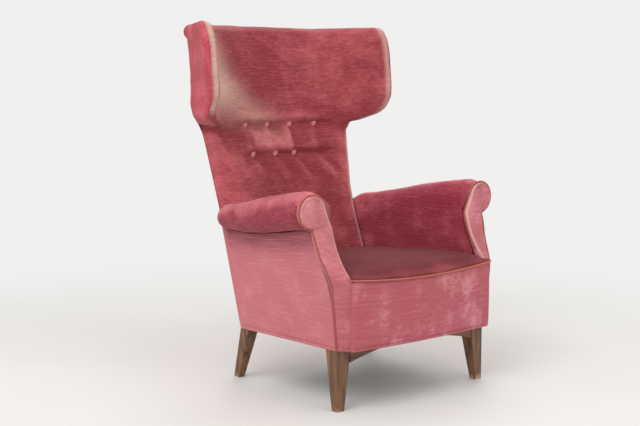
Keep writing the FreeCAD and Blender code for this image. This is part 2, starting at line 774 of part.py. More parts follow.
# Upholstery
roll = top_roll()
domes, ties, needle_holes = buttons()
straps = back_webbing()
pad, wing_stuffing = back_and_wings([roll, post, mirrored(post), wing, mirrored(wing), both_rails,
                                    straps, needle_holes])
save("back_pad", pad)
save_pair("wing_pad", wing_stuffing)
save("back_buttons", domes)
save("button_ties", ties)
save("outer_back", outer_back())
save("top_roll", roll)
save_pair("wing_outer", wing_outer().cut(roll))
save_pair("arm_pad", arm_pad([post, stump, rail_a, straps, pad]))
save_pair("side_cover", side_cover())
save_pair("arm_facing", arm_facing())
cord_low, cord_high = facing_cord()
save_pair("facing_cord", group([cord_low, cord_high]))
save("seat_pad", seat_pad())
save("seat_border", seat_border())
save("seat_cord", seat_cord())
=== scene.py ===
import bmesh
import bpy
import math
import numpy as np
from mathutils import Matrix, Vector


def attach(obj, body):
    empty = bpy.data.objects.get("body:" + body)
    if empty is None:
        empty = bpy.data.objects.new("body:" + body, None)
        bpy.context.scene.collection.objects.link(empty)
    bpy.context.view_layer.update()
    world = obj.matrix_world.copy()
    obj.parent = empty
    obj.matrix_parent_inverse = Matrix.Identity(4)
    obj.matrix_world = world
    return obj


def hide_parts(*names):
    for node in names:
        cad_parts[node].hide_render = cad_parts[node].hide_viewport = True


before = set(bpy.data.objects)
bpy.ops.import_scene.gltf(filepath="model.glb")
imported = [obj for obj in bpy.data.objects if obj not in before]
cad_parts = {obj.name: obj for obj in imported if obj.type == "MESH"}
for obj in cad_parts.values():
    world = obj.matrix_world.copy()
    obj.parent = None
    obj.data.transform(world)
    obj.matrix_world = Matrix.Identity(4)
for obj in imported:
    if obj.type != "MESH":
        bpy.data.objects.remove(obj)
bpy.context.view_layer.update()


# The legs and the arched front rail
# Beech, square at the hem and tapered to the feet, stained a middle brown and lacquered satin.
# The rails are tenoned into the legs, and the stain has worn pale at the feet and the edges.
def dye(red, green, blue):
    """A colour as the eye reads it, 0 to 255, in the shader's own measure."""
    return tuple((c / 255 / 12.92 if c < 11 else ((c / 255 + 0.055) / 1.055) ** 2.4)
                 for c in (red, green, blue)) + (1.0,)


class Finish:
    """A finish made of shader nodes, and the few ways its patterns are put together."""

    def __init__(self, name, roughness, gloss=0.5, metal=0.0):
        self.material = bpy.data.materials.new(name)
        self.material.use_nodes = True
        self.nodes = self.material.node_tree.nodes
        self.links = self.material.node_tree.links
        self.shader = self.nodes["Principled BSDF"]
        self.shader.inputs["Roughness"].default_value = roughness
        self.shader.inputs["Specular IOR Level"].default_value = gloss
        self.shader.inputs["Metallic"].default_value = metal

    def place(self, cloth=False):
        """Where a point is: in the chair, or along the cloth's own weft and warp."""
        if cloth:
            node = self.nodes.new("ShaderNodeUVMap")
            node.uv_map = "cloth"
            return node.outputs["UV"]
        return self.nodes.new("ShaderNodeTexCoord").outputs["Object"]

    def measure(self, name):
        """A share stored on the piece's own points, such as how worn it is."""
        node = self.nodes.new("ShaderNodeAttribute")
        node.attribute_name = name
        return node.outputs["Fac"]

    def mottle(self, place, per_metre, detail=2.0, turned=(0, 0, 0)):
        """Cloudy noise, with this many patches to the metre each way."""
        mapping = self.nodes.new("ShaderNodeMapping")
        mapping.inputs["Scale"].default_value = per_metre
        mapping.inputs["Rotation"].default_value = [math.radians(a) for a in turned]
        self.links.new(place, mapping.inputs["Vector"])
        noise = self.nodes.new("ShaderNodeTexNoise")
        noise.inputs["Scale"].default_value = 1.0
        noise.inputs["Detail"].default_value = detail
        self.links.new(mapping.outputs["Vector"], noise.inputs["Vector"])
        return noise.outputs["Fac"]

    def between(self, value, low, high, least=0.0, most=1.0):
        """Nothing below low, all of it above high, and smooth from one to the other."""
        node = self.nodes.new("ShaderNodeMapRange")
        node.interpolation_type = "SMOOTHSTEP"
        for key, number in (("From Min", low), ("From Max", high), ("To Min", least), ("To Max", most)):
            node.inputs[key].default_value = number
        self.links.new(value, node.inputs["Value"])
        return node.outputs["Result"]

    def reckon(self, how, first, second):
        """Puts two values, or a value and a number, together in the way that how says."""
        node = self.nodes.new("ShaderNodeMath")
        node.operation = how
        for socket, value in zip(node.inputs, (first, second)):
            if isinstance(value, (int, float)):
                socket.default_value = value
            else:
                self.links.new(value, socket)
        return node.outputs["Value"]

    def times(self, first, second):
        """Two values multiplied, or a value and a number."""
        return self.reckon("MULTIPLY", first, second)

    def blend(self, share, first, second):
        """The first colour turning into the second."""
        node = self.nodes.new("ShaderNodeMix")
        node.data_type = "RGBA"
        if isinstance(share, (int, float)):
            node.inputs["Factor"].default_value = share
        else:
            self.links.new(share, node.inputs["Factor"])
        for socket, value in ((node.inputs[6], first), (node.inputs[7], second)):
            if isinstance(value, tuple):
                socket.default_value = value
            else:
                self.links.new(value, socket)
        return node.outputs[2]

    def raised(self, height, metres, strength=1.0):
        """Adds a relief to what is there already."""
        node = self.nodes.new("ShaderNodeBump")
        node.inputs["Strength"].default_value = strength
        node.inputs["Distance"].default_value = metres
        self.links.new(height, node.inputs["Height"])
        under = self.shader.inputs["Normal"]
        if under.links:
            self.links.new(under.links[0].from_socket, node.inputs["Normal"])
        self.links.new(node.outputs["Normal"], under)

    def coloured(self, colour):
        """Sets the pattern that colours the piece."""
        self.links.new(colour, self.shader.inputs["Base Color"])

    def dulled(self, roughness):
        """Sets the pattern of how dull the piece is."""
        self.links.new(roughness, self.shader.inputs["Roughness"])


def wood(name, dark, light, worn, gloss, along=(90, 90, 7), foot_wear=0.0):
    """Straight-grained beech with its small flecks, rubbed at the edges and at the feet."""
    finish = Finish(name, 0.45, gloss)
    place = finish.place()
    grain = finish.mottle(place, along, 4)
    fine = finish.mottle(place, [a * 5 for a in along], 2)
    fleck = finish.between(finish.mottle(place, [a * 7 for a in along], 1), 0.62, 0.7)
    colour = finish.blend(finish.between(grain, 0.3, 0.72), dark, light)
    colour = finish.blend(finish.times(fleck, 0.35), colour, dark)
    edge = finish.between(finish.nodes.new("ShaderNodeNewGeometry").outputs["Pointiness"], 0.53, 0.62)
    patchy = finish.between(finish.mottle(place, (60, 60, 25), 3), 0.38, 0.62)
    rubbed = finish.times(edge, patchy)
    if foot_wear:
        height = finish.nodes.new("ShaderNodeSeparateXYZ")
        finish.links.new(place, height.inputs["Vector"])
        low = finish.between(height.outputs["Z"], 0.0, foot_wear, 1.0, 0.0)
        rubbed = finish.reckon("MAXIMUM", rubbed, finish.times(low, patchy))
    finish.coloured(finish.blend(rubbed, colour, worn))
    finish.dulled(finish.between(fine, 0.3, 0.7, 0.38, 0.58))
    finish.raised(fine, 0.0002, 0.5)
    return finish


def dress(names, finish, arris=0.0):
    """Gives wooden and metal parts their finish, and eases their sharp edges by the arris."""
    for name in names:
        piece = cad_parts[name]
        for slot in piece.material_slots:
            slot.material = finish.material
        if arris:
            weld = piece.modifiers.new("weld", "WELD")
            weld.merge_threshold = 0.00002
            bevel = piece.modifiers.new("arris", "BEVEL")
            bevel.width = arris
            bevel.segments = 2
            bevel.limit_method = "ANGLE"
            bevel.angle_limit = math.radians(35)
            bevel.harden_normals = True


stained_beech = wood("stained_beech", dye(82, 54, 36), dye(140, 99, 68), dye(184, 152, 120), 0.45,
                     foot_wear=0.02)
stained_rail = wood("stained_rail", dye(84, 55, 36), dye(140, 99, 68), dye(176, 142, 110), 0.4,
                    along=(7, 90, 90))
dress(["leg_front_left", "leg_front_right", "leg_rear_left", "leg_rear_right"], stained_beech, 0.0012)
dress(["rail_front"], stained_rail, 0.001)


# The hidden frame: seat rails, corner blocks, back posts and rails, wing boards and arm stumps
# Planed beech left without a finish. The joints are tenoned, glued and pegged, and the corner
# blocks are held with countersunk steel screws.
raw_upright = wood("raw_beech_upright", dye(176, 136, 94), dye(214, 180, 134), dye(222, 194, 152), 0.25)
raw_across = wood("raw_beech_across", dye(176, 136, 94), dye(214, 180, 134), dye(222, 194, 152), 0.25,
                  along=(7, 90, 90))
raw_deep = wood("raw_beech_deep", dye(172, 132, 90), dye(210, 176, 130), dye(222, 194, 152), 0.25,
                along=(90, 7, 90))
for side in ("left", "right"):
    dress([f"back_post_{side}", f"arm_post_{side}", f"wing_frame_{side}"], raw_upright, 0.001)
    dress([f"rail_side_{side}", f"arm_rail_{side}"], raw_deep, 0.001)
dress(["rail_rear", "back_rail_low", "back_rail_waist", "back_rail_top", "corner_blocks"],
      raw_across, 0.001)
dress(["tenon_pegs"], raw_deep)


def metal(name, colour, worn, roughness):
    """Drawn or turned metal, dulled in patches by handling."""
    finish = Finish(name, roughness, 0.5, 1.0)
    place = finish.place()
    patch = finish.between(finish.mottle(place, (220, 220, 220), 3), 0.4, 0.65)
    finish.coloured(finish.blend(patch, colour, worn))
    finish.dulled(finish.between(finish.mottle(place, (900, 900, 900), 2), 0.3, 0.7,
                                 roughness - 0.08, roughness + 0.15))
    return finish


dress(["corner_block_screws"], metal("bright_screw", dye(176, 176, 178), dye(120, 118, 116), 0.32))


# The webbing, springs and hessian
# Jute webbing is strained over and under across the rails. Nine coppered coils stand on it under
# a hessian that is tacked to the rails, and the back has straps of the same webbing.
def jute(name, dark, light, threads):
    """A plain weave, with this many threads to the metre and their slubs."""
    finish = Finish(name, 0.95, 0.1)
    place = finish.place(cloth=True)
    rises = []
    for axis in ("X", "Y"):
        wave = finish.nodes.new("ShaderNodeTexWave")
        wave.bands_direction = axis
        wave.inputs["Scale"].default_value = threads / 20 * math.pi
        wave.inputs["Distortion"].default_value = 1.2
        wave.inputs["Detail Scale"].default_value = 3.0
        finish.links.new(place, wave.inputs["Vector"])
        rises.append(wave.outputs["Fac"])
    over = finish.times(rises[0], rises[1])
    slub = finish.mottle(place, (120, 700, 1), 2)
    colour = finish.blend(finish.between(slub, 0.35, 0.65), dark, light)
    finish.coloured(finish.blend(finish.times(over, 0.5), colour, dark))
    finish.raised(over, 0.0006)
    return finish


def placed(name, data):
    """A mesh, lamp or camera set down in the scene."""
    thing = bpy.data.objects.new(name, data)
    bpy.context.scene.collection.objects.link(thing)
    return thing


def skin(name, points, loop=False, capped=False, sides=None, worn=None, nap_and_painted_light=None, turned=False):
    """A piece with its surface through a grid of points, given in rows, in millimetres.

    A loop's rows close on themselves, and capped closes its ends. The cloth's own measures run
    along the rows and across them, or across and along if turned, and sides gives those along
    where they aren't simply counted from the first place. worn and nap_and_painted_light are shares for
    each point;
    besides wear and the lie of the pile they carry painted highlights and painted shade on some pieces."""
    rows, places = points.shape[:2]
    metres = points * 0.001
    mesh = bpy.data.meshes.new(name)
    at = np.arange(rows * places).reshape(rows, places)
    near, far = at[:-1], at[1:]
    if loop:
        near, far = np.hstack([near, near[:, :1]]), np.hstack([far, far[:, :1]])
    quads = np.stack([near[:, :-1], near[:, 1:], far[:, 1:], far[:, :-1]], axis=-1).reshape(-1, 4)
    faces = quads.tolist()
    if capped:
        faces += [at[0][::-1].tolist(), at[-1].tolist()]
    mesh.from_pydata(metres.reshape(-1, 3).tolist(), [], faces)
    run = np.linalg.norm(np.diff(metres, axis=1), axis=2)
    weft = np.concatenate([np.zeros((rows, 1)), np.cumsum(run, axis=1)], axis=1)
    weft = weft if sides is None else sides * 0.001
    rise = np.linalg.norm(np.diff(metres, axis=0), axis=2).mean(axis=1)
    warp = np.concatenate([[0], np.cumsum(rise)])[:, None] + np.zeros((rows, places))
    cloth = np.stack([warp, weft] if turned else [weft, warp], axis=-1).reshape(-1, 2)
    layer = mesh.uv_layers.new(name="cloth")
    corner = np.zeros(len(mesh.loops), int)
    mesh.loops.foreach_get("vertex_index", corner)
    layer.data.foreach_set("uv", cloth[corner].astype(np.float32).ravel())
    for share, values in (("worn", worn), ("nap_and_painted_light", nap_and_painted_light)):
        attribute = mesh.attributes.new(share, "FLOAT", "POINT")
        if values is not None:
            attribute.data.foreach_set("value", np.asarray(values, np.float32).ravel())
    made = bmesh.new()
    made.from_mesh(mesh)
    bmesh.ops.remove_doubles(made, verts=made.verts, dist=0.00005)
    bmesh.ops.recalc_face_normals(made, faces=made.faces)
    made.to_mesh(mesh)
    made.free()
    mesh.shade_smooth()
    return placed(name, mesh)


def fitted(piece, finish, slot, *nodes):
    """Covers a piece, fixes it to the chair, and hides the plain solids it stands for."""
    piece.data.materials.append(finish.material)
    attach(piece, "root")
    if nodes:
        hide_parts(*nodes)
    return piece


def thick(piece, metres):
    """Gives a sheet its own thickness, inward."""
    solid = piece.modifiers.new("thickness", "SOLIDIFY")
    solid.thickness = metres
    solid.offset = -1
    return piece


def grid(rows, places):
    """Shares from 0 to 1 along the rows and across them."""
    across, along = np.meshgrid(np.linspace(0, 1, places), np.linspace(0, 1, rows))
    return along, across


STRAP_W = 50.0
WEB_LEVEL = 178.0
WEB_XS = (-190, -95, 0, 95, 190)
WEB_YS = (-290, -200, -110, -20)

webbing = jute("jute_webbing", dye(138, 112, 76), dye(196, 168, 122), 600)


def strap(middle, start, end, crossings, first_over):
    """One seat strap from back to front, over a crossing strap and under the next."""
    far, wide = np.meshgrid(np.linspace(start, end, 90), (-STRAP_W / 2, STRAP_W / 2), indexing="ij")
    lift = np.zeros_like(far)
    for number, crossing in enumerate(crossings):
        sign = 1 if number % 2 == first_over else -1
        lift += sign * 1.7 * np.exp(-((far - crossing) / 34) ** 4)
    return np.stack([middle + wide, far, WEB_LEVEL + lift], axis=-1)


for number, x in enumerate(WEB_XS):
    piece = thick(skin(f"seat_strap_long_{number}", strap(x, -346, 76, WEB_YS, number % 2)), 0.0015)
    fitted(piece, webbing, "jute_webbing", "seat_webbing")
for number, y in enumerate(WEB_YS):
    across = strap(y, -280, 280, WEB_XS, (number + 1) % 2)[..., [1, 0, 2]]
    piece = thick(skin(f"seat_strap_cross_{number}", across), 0.0015)
    fitted(piece, webbing, "jute_webbing", "seat_webbing")

REAR_HEM = 165.0
REAR_FOOT_Y = 81.0
RAKE = 0.375


def rear(z):
    """How far back the leaning plane of the back is, at a height."""
    return REAR_FOOT_Y + RAKE * (z - REAR_HEM)


STRAP_SINK = 28
BACK_STRAP_ZS = (430, 520, 610, 700, 850, 940)
lean = math.hypot(1, RAKE)
for number, z in enumerate(BACK_STRAP_ZS):
    half = 231 if z < 500 else 230
    along, wide = np.meshgrid(np.linspace(-half, half, 60), (-STRAP_W / 2, STRAP_W / 2), indexing="ij")
    height = z + wide / lean - STRAP_SINK * RAKE / lean
    give = 2.0 * np.cos(along / half * math.pi / 2)
    points = np.stack([along, rear(z) + wide * RAKE / lean - STRAP_SINK / lean - give, height], axis=-1)
    piece = thick(skin(f"back_strap_{number}", points), 0.0015)
    fitted(piece, webbing, "jute_webbing", "back_webbing")

share_y, share_x = grid(50, 60)
DECK_FRONT = -345.0
DECK_REAR = 50.0
DECK_LEVEL = 295
SPRING_XS = (-150, 0, 150)
SPRING_YS = (-270, -155, -40)
deck_half = 258 + (226 - 258) * share_y
deck_x = (share_x * 2 - 1) * deck_half
deck_y = DECK_FRONT + (DECK_REAR - DECK_FRONT) * share_y
springing = np.zeros_like(deck_x)
for x in SPRING_XS:
    for y in SPRING_YS:
        away = np.hypot(deck_x - x, deck_y - y)
        springing += 1.6 * np.exp(-(away / 38) ** 4)
deck = skin("spring_hessian", np.stack([deck_x, deck_y, DECK_LEVEL + springing], axis=-1))
fitted(thick(deck, 0.001), jute("hessian", dye(150, 124, 86), dye(206, 182, 138), 900), "hessian",
       "spring_deck")

dress(["seat_springs"], metal("coppered_wire", dye(150, 112, 82), dye(104, 84, 70), 0.38))


# The inside back and wings
# One skin of slubbed velvet over hair and cotton, stretched round both wings and over their tops.
# It is sewn through to the webbing at the buttons, and folds where the ties pull it in.
def velvet(name, deep, pale, slub, rubbed, brushing=0.45, slubby=0.4):
    """Cut-pile velvet with slubs in its weft, paler where it is brushed and greyed where rubbed.
    On some pieces the nap_and_painted_light and worn shares also carry painted highlights and painted
    shade.
    """
    finish = Finish(name, 0.82, 0.1)
    cloth = finish.place(cloth=True)
    chair = finish.place()
    patches = finish.mottle(chair, (11, 11, 17), 4)
    small = finish.mottle(cloth, (60, 95, 1), 3)
    lie = finish.reckon("ADD", finish.times(patches, 0.65), finish.times(small, 0.35))
    lie = finish.times(finish.reckon("SUBTRACT", lie, 0.5), brushing * 4)
    colour = finish.blend(finish.between(finish.reckon("ADD", lie, finish.measure("nap_and_painted_light")), 0.0, 1.0),
                          deep, pale)
    dash = finish.mottle(cloth, (24, 760, 1), 2)
    speckle = finish.times(finish.reckon("SUBTRACT", dash, 0.5), 1.3)
    rub = finish.times(finish.measure("worn"), finish.reckon("ADD", speckle, 1.0))
    rub = finish.reckon("ADD", rub, finish.times(lie, 0.06))
    colour = finish.blend(finish.between(rub, 0.05, 1.1, 0.0, 0.92), colour, rubbed)
    dark_dash = finish.mottle(cloth, (30, 620, 1), 2, (0, 0, 0.6))
    streak = finish.mottle(cloth, (7, 300, 1), 3)
    bright = finish.between(dash, 0.58, 0.72)
    colour = finish.blend(finish.times(bright, slubby), colour, slub)
    dark_share = finish.times(finish.between(dark_dash, 0.56, 0.7), 0.5)
    colour = finish.blend(dark_share, colour, deep)
    colour = finish.blend(finish.between(streak, 0.45, 0.75, 0.0, 0.3), colour, pale)
    pile = finish.mottle(cloth, (1500, 2300, 1), 2)
    rib = finish.mottle(cloth, (240, 1300, 1), 2)
    colour = finish.blend(finish.times(finish.between(rib, 0.4, 0.7), 0.16), colour, pale)
    finish.coloured(finish.blend(finish.between(pile, 0.45, 0.75, 0.0, 0.22), colour, deep))
    finish.shader.inputs["Sheen Weight"].default_value = 0.55
    finish.shader.inputs["Sheen Roughness"].default_value = 0.38
    finish.shader.inputs["Sheen Tint"].default_value = dye(236, 186, 184)
    finish.raised(rib, 0.0007, 0.5)
    finish.raised(bright, 0.0004, 0.6)
    finish.raised(pile, 0.0005, 0.6)
    return finish


def eased(rows, at):
    """Reads a table of rows (place, a, b, ...) at a place, along smooth curves that don't overshoot."""
    rows = np.array(rows, float)
    place, values = rows[:, 0], rows[:, 1:]
    rise = np.diff(values, axis=0) / np.diff(place)[:, None]
    slope = np.zeros_like(values)
    same_way = rise[1:] * rise[:-1] > 0
    sums = np.where(same_way, rise[1:] + rise[:-1], 1)
    slope[1:-1] = np.where(same_way, 2 * rise[1:] * rise[:-1] / sums, 0)
    slope[0], slope[-1] = rise[0], rise[-1]
    low = int(np.clip(np.searchsorted(place, at) - 1, 0, len(place) - 2))
    gap = place[low + 1] - place[low]
    t = min(max((at - place[low]) / gap, 0.0), 1.0)
    return ((2 * t ** 3 - 3 * t ** 2 + 1) * values[low] + (t ** 3 - 2 * t ** 2 + t) * gap * slope[low]
            + (3 * t ** 2 - 2 * t ** 3) * values[low + 1] + (t ** 3 - t ** 2) * gap * slope[low + 1])


def length_of(line):
    """How long a line of points is."""
    return np.linalg.norm(np.diff(line, axis=0), axis=1).sum()


def resampled(line, count):
    """The same line, with this many points evenly spaced along it."""
    step = np.linalg.norm(np.diff(line, axis=0), axis=1)
    far = np.concatenate([[0], np.cumsum(step)])
    at = np.linspace(0, far[-1], count)
    return np.stack([np.interp(at, far, line[:, k]) for k in range(line.shape[1])], axis=1)


def facing_ways(points, loop=False):
    """The way out of the surface at each point of a grid."""
    if loop:
        across = np.roll(points, -1, axis=1) - np.roll(points, 1, axis=1)
    else:
        across = np.gradient(points, axis=1)
    out = np.cross(across, np.gradient(points, axis=0))
    return out / np.maximum(np.linalg.norm(out, axis=-1, keepdims=True), 1e-9)


def rising(value, low, high):
    """0 below low, 1 above high and smooth between."""
    t = np.clip((value - low) / (high - low), 0, 1)
    return t * t * (3 - 2 * t)


def bump(value, middle, width):
    """1 at the middle, falling off smoothly to almost nothing two widths away."""
    return np.exp(-((value - middle) / width) ** 2)


def unevenness(points, size, seed):
    """The soft unevenness of hand stuffing, from -1 to 1, with lumps of this size."""
    dice = np.random.default_rng(seed)
    total = np.zeros(points.shape[:-1])
    for _ in range(14):
        way = dice.normal(size=3)
        way *= 2 * math.pi / (size * dice.uniform(0.7, 1.8)) / np.linalg.norm(way)
        total += np.sin(points @ way + dice.uniform(0, 2 * math.pi))
    return total / 5.0


# Heights, half width of the rear edge, the wing tip's x and depth ahead of the rear plane, where
# the inside of the wing starts (x, depth), and the depth of the middle, in millimetres
BACK_ROWS = (
    (300, 228, 226, 78, 190, 75, 60),
    (470, 228, 226, 75, 190, 72, 56),
    (512, 275, 228, 75, 192, 72, 55),
    (647, 276, 252, 75, 215, 72, 52),
    (746, 279, 272, 78, 235, 77, 52),
    (770, 285, 290, 100, 245, 90, 52),
    (790, 293, 325, 135, 250, 96, 52),
    (808, 299, 356, 175, 252, 102, 52),
    (832, 300, 368, 206, 254, 106, 54),
    (872, 290, 370, 240, 252, 110, 55),
    (950, 272, 371, 264, 248, 113, 57),
    (1046, 258, 371, 284, 242, 117, 60),
    (1068, 256, 369, 280, 240, 116, 60),
)
TIP_R = 20.0
COVER_T = 3.0
BACK_LOW = 300.0
TURN_Z = 1068.0
CREST_Z = 1091.0
ROLL_HALF = 236.0
ROLL_Y = 414.0
MIDDLE_COLUMNS = 50
WING_COLUMNS = 36
RIM_COLUMNS = 12


def half_outline(z):
    """Plan of the right half at a height: front, round the wing's edge, and back along the rear."""
    rear_half, tip_x, depth, in_x, in_depth, middle = eased(BACK_ROWS, z)
    back = rear(z)
    tip = np.array([tip_x - TIP_R, back - depth + TIP_R])
    corner = np.array([rear_half - COVER_T, back - COVER_T])
    root = np.array([in_x, back - in_depth])
    radius = TIP_R - 1.5
    ahead = tip - corner
    outer = math.atan2(ahead[1], ahead[0]) + math.asin(radius / np.hypot(*ahead)) + math.pi / 2
    ahead = tip - root
    inner = math.atan2(ahead[1], ahead[0]) - math.asin(min(radius / np.hypot(*ahead), 0.9)) - math.pi / 2
    turns = np.linspace(inner, outer, RIM_COLUMNS + 1)
    rim = tip + radius * np.stack([np.cos(turns), np.sin(turns)], axis=1)
    x = np.linspace(0, in_x, 60)
    bow = np.stack([x, back - middle - (in_depth - middle) * (x / in_x) ** 2], axis=1)
    front = resampled(np.vstack([bow, rim[:1]]), MIDDLE_COLUMNS + WING_COLUMNS + 1)
    side = resampled(np.vstack([rim[-1:], corner[None]]), WING_COLUMNS + 1)[1:]
    behind = resampled(np.array([corner, [0, back - COVER_T]]), MIDDLE_COLUMNS + 1)[1:]
    return np.vstack([front, rim[1:], side, behind])


levels = np.linspace(BACK_LOW, TURN_Z, 176)
half = np.array([half_outline(z) for z in levels])
front_end = MIDDLE_COLUMNS + WING_COLUMNS
both = np.concatenate([half[:, front_end:0:-1] * (-1, 1), half[:, :front_end + 1]], axis=1)
for _ in range(60):
    both[:, 1:-1] += 0.8 * ((both[:, :-2] + both[:, 2:]) / 2 - both[:, 1:-1])
half[:, :front_end + 1] = both[:, front_end:]

crest = np.zeros_like(half[-1])
share = np.linspace(0, 1, MIDDLE_COLUMNS + 1)
crest[:MIDDLE_COLUMNS + 1] = np.stack([share * ROLL_HALF, share * 0 + ROLL_Y], axis=1)
tip_crest = np.array([349.0, rear(TURN_Z) - 232.0])
share = np.linspace(0, 1, WING_COLUMNS + 1)[1:, None]
crest[MIDDLE_COLUMNS + 1:front_end + 1] = (ROLL_HALF, ROLL_Y) + share * (tip_crest - (ROLL_HALF, ROLL_Y))
rim_end = front_end + RIM_COLUMNS
crest[front_end + 1:rim_end + 1] = tip_crest
crest[rim_end + 1:] = crest[:front_end][::-1]
rows = [np.column_stack([line, np.full(len(line), z)]) for line, z in zip(half, levels)]
for turn in np.radians(np.linspace(0, 90, 14)[1:]):
    z = TURN_Z + (CREST_Z - TURN_Z) * math.sin(turn)
    leant = half[-1] + (0, RAKE * (z - TURN_Z))
    line = leant * math.cos(turn) + crest * (1 - math.cos(turn))
    rows.append(np.column_stack([line, np.full(len(line), z)]))
right = np.array(rows)
inside = np.concatenate([right, (right * (-1, 1, 1))[:, -2:0:-1]], axis=1)

# Top row of buttons, then the lower row, whose right-hand button is lost but whose tie still holds
BUTTONS = ((775, (-142, -46, 46, 142)), (682, (-134, -38, 38, 134)))
# Folds in the cloth, from a point to a point on the back (x, z), and how deep and wide each is
FOLDS = (
    ((-142, 775), (-134, 682), 2.4, 7), ((-46, 775), (-38, 682), 3.0, 7),
    ((46, 775), (38, 682), 4.0, 7), ((142, 775), (134, 682), 3.0, 7),
    ((-142, 775), (-60, 735), 2.0, 8), ((-46, 775), (6, 706), 3.0, 8), ((-134, 682), (-96, 612), 3.0, 8),
    ((-38, 682), (10, 612), 3.0, 8), ((38, 682), (108, 586), 4.6, 9),
    ((134, 682), (196, 600), 4.6, 9), ((142, 775), (205, 752), 2.2, 9),
    ((-142, 775), (-205, 762), 2.0, 8), ((-134, 682), (-190, 668), 1.6, 8),
    ((134, 682), (196, 664), 1.8, 8), ((-235, 946), (-120, 902), 1.4, 9),
    ((240, 940), (150, 905), 1.0, 10),
)


def beside(fold, x, z):
    """How far along a fold a point is, as a share of its length, and how far off to its side."""
    (x0, z0), (x1, z1) = fold[:2]
    length = math.hypot(x1 - x0, z1 - z0)
    run = ((x - x0) * (x1 - x0) + (z - z0) * (z1 - z0)) / length ** 2
    off = ((x - x0) * (z1 - z0) - (z - z0) * (x1 - x0)) / length
    return run, off


def pulled_in(x, z):
    """How deep the ties and the folds they raise pull the back in, in millimetres."""
    depth = np.zeros_like(x)
    held = 1 - rising(np.abs(x), 150, 232)
    for level, columns in BUTTONS:
        off = z - level
        slack = 1 + 0.25 * np.cos(x / 96 * 2 * math.pi)
        depth -= 5.0 * bump(off, 19, 14) * held
        ledge = np.where(off > 0, bump(off, 0, 6.0), bump(off, 0, 24.0))
        depth += 8.0 * ledge * held * slack
        for column in columns:
            away = np.hypot(x - column, off)
            around = np.arctan2(off, x - column)
            depth += 7.0 * np.exp(-(away / 15) ** 1.6)
            depth += 1.1 * np.cos(7 * around + column) * bump(away, 17, 9)
    for fold in FOLDS:
        deep, wide = fold[2:]
        run, off = beside(fold, x, z)
        ends = rising(run, -0.08, 0.1) * (1 - rising(run, 0.55, 1.08))
        crease = np.where(off > 0, bump(off, 0, wide), bump(off, 0, 2.2 * wide))
        depth += ends * deep * (crease - 0.6 * bump(off, 2.0 * wide, wide))
    return depth


out = facing_ways(inside, loop=True)
places = inside.shape[1]
column = np.minimum(np.arange(places), places - np.arange(places))
on_front = (column <= front_end)[None, :] & (inside[..., 2] <= TURN_Z + 1)
depth = np.where(on_front, pulled_in(inside[..., 0], inside[..., 2]), 0)
stuffing = 1.3 * unevenness(inside, 120, 3) + 0.5 * unevenness(inside, 45, 4)
loose = (column <= rim_end + WING_COLUMNS)[None, :] * (1 - rising(inside[..., 2], 1060, 1085))
inside += out * (stuffing * loose - depth)[..., None]

# Under each wing the cloth is gathered into the side of the back
tuck = bump(inside[..., 2], 768, 7) * 9 * rising(np.abs(inside[..., 0]), 240, 275)
inside -= out * (tuck * (column > front_end - 12)[None, :])[..., None]

x, z = inside[..., 0], inside[..., 2]
reach = np.interp(z, (660, 720, 790, 860, 950, 1040, 1090), (-190, -130, -70, -105, -165, -205, -225))
worn = (1 - rising(x, reach - 150, reach + 90)) * rising(z, 690, 880) * on_front
worn *= 0.58 + 0.38 * rising(z, 800, 920)
worn += 0.3 * bump(x, -60, 110) * bump(z, 800, 55) * on_front
# Paler along the front edge of the wings and the back's sides: partly wear, partly a painted highlight on
# the rounded edge.
rim_highlight_and_wear = bump(column[None, :], front_end + 4, 3.6)
worn += rim_highlight_and_wear * np.where(x > 0, 0.6, 0.75 * rising(z, 790, 830))
worn += 0.16 * bump(x, 150, 90) * bump(z, 950, 70) * on_front
# Painted highlight: the worn share lightens the band where the stuffing bulges between the two rows of
# buttons.
row_gap = np.exp(-((z - 722) / 34) ** 4)
worn += 0.22 * row_gap * rising(x, -150, -110) * (1 - rising(x, 30, 48)) * on_front
worn = np.clip(worn, 0, 1)
wing_high = rising(z, 780, 815)
nap_and_painted_light = 0.12 + 0.25 * rising(x, 20, 190) * rising(z, 780, 900)
# The same painted highlight between the rows, through the nap share.
between_rows = row_gap * rising(x, -165, -120)
nap_and_painted_light += between_rows * (0.3 * (1 - rising(x, 30, 48)) + 0.16 * rising(x, 48, 60) * (1 - rising(x, 150, 175)))
nap_and_painted_light += 0.4 * (1 - rising(x, -235, -90)) * (1 - rising(z, 660, 760))
nap_and_painted_light += 0.4 * rising(x, 160, 235) * (1 - rising(z, 740, 790))
# Painted highlight on the bulge above the top row of buttons, and painted shade just under the lower row.
nap_and_painted_light += bump(z, 800, 22) * 0.3 * (1 - rising(np.abs(x), 150, 210))
nap_and_painted_light -= 0.3 * bump(z, 664, 15) * (1 - rising(np.abs(x), 150, 190))
outer_face = column[None, :] > front_end + 6
nap_and_painted_light = np.where(outer_face, 0.5 - 0.32 * wing_high, nap_and_painted_light)
# Painted shade in the gathered crease under each wing.
nap_and_painted_light -= 0.5 * bump(z, 762, 12) * outer_face
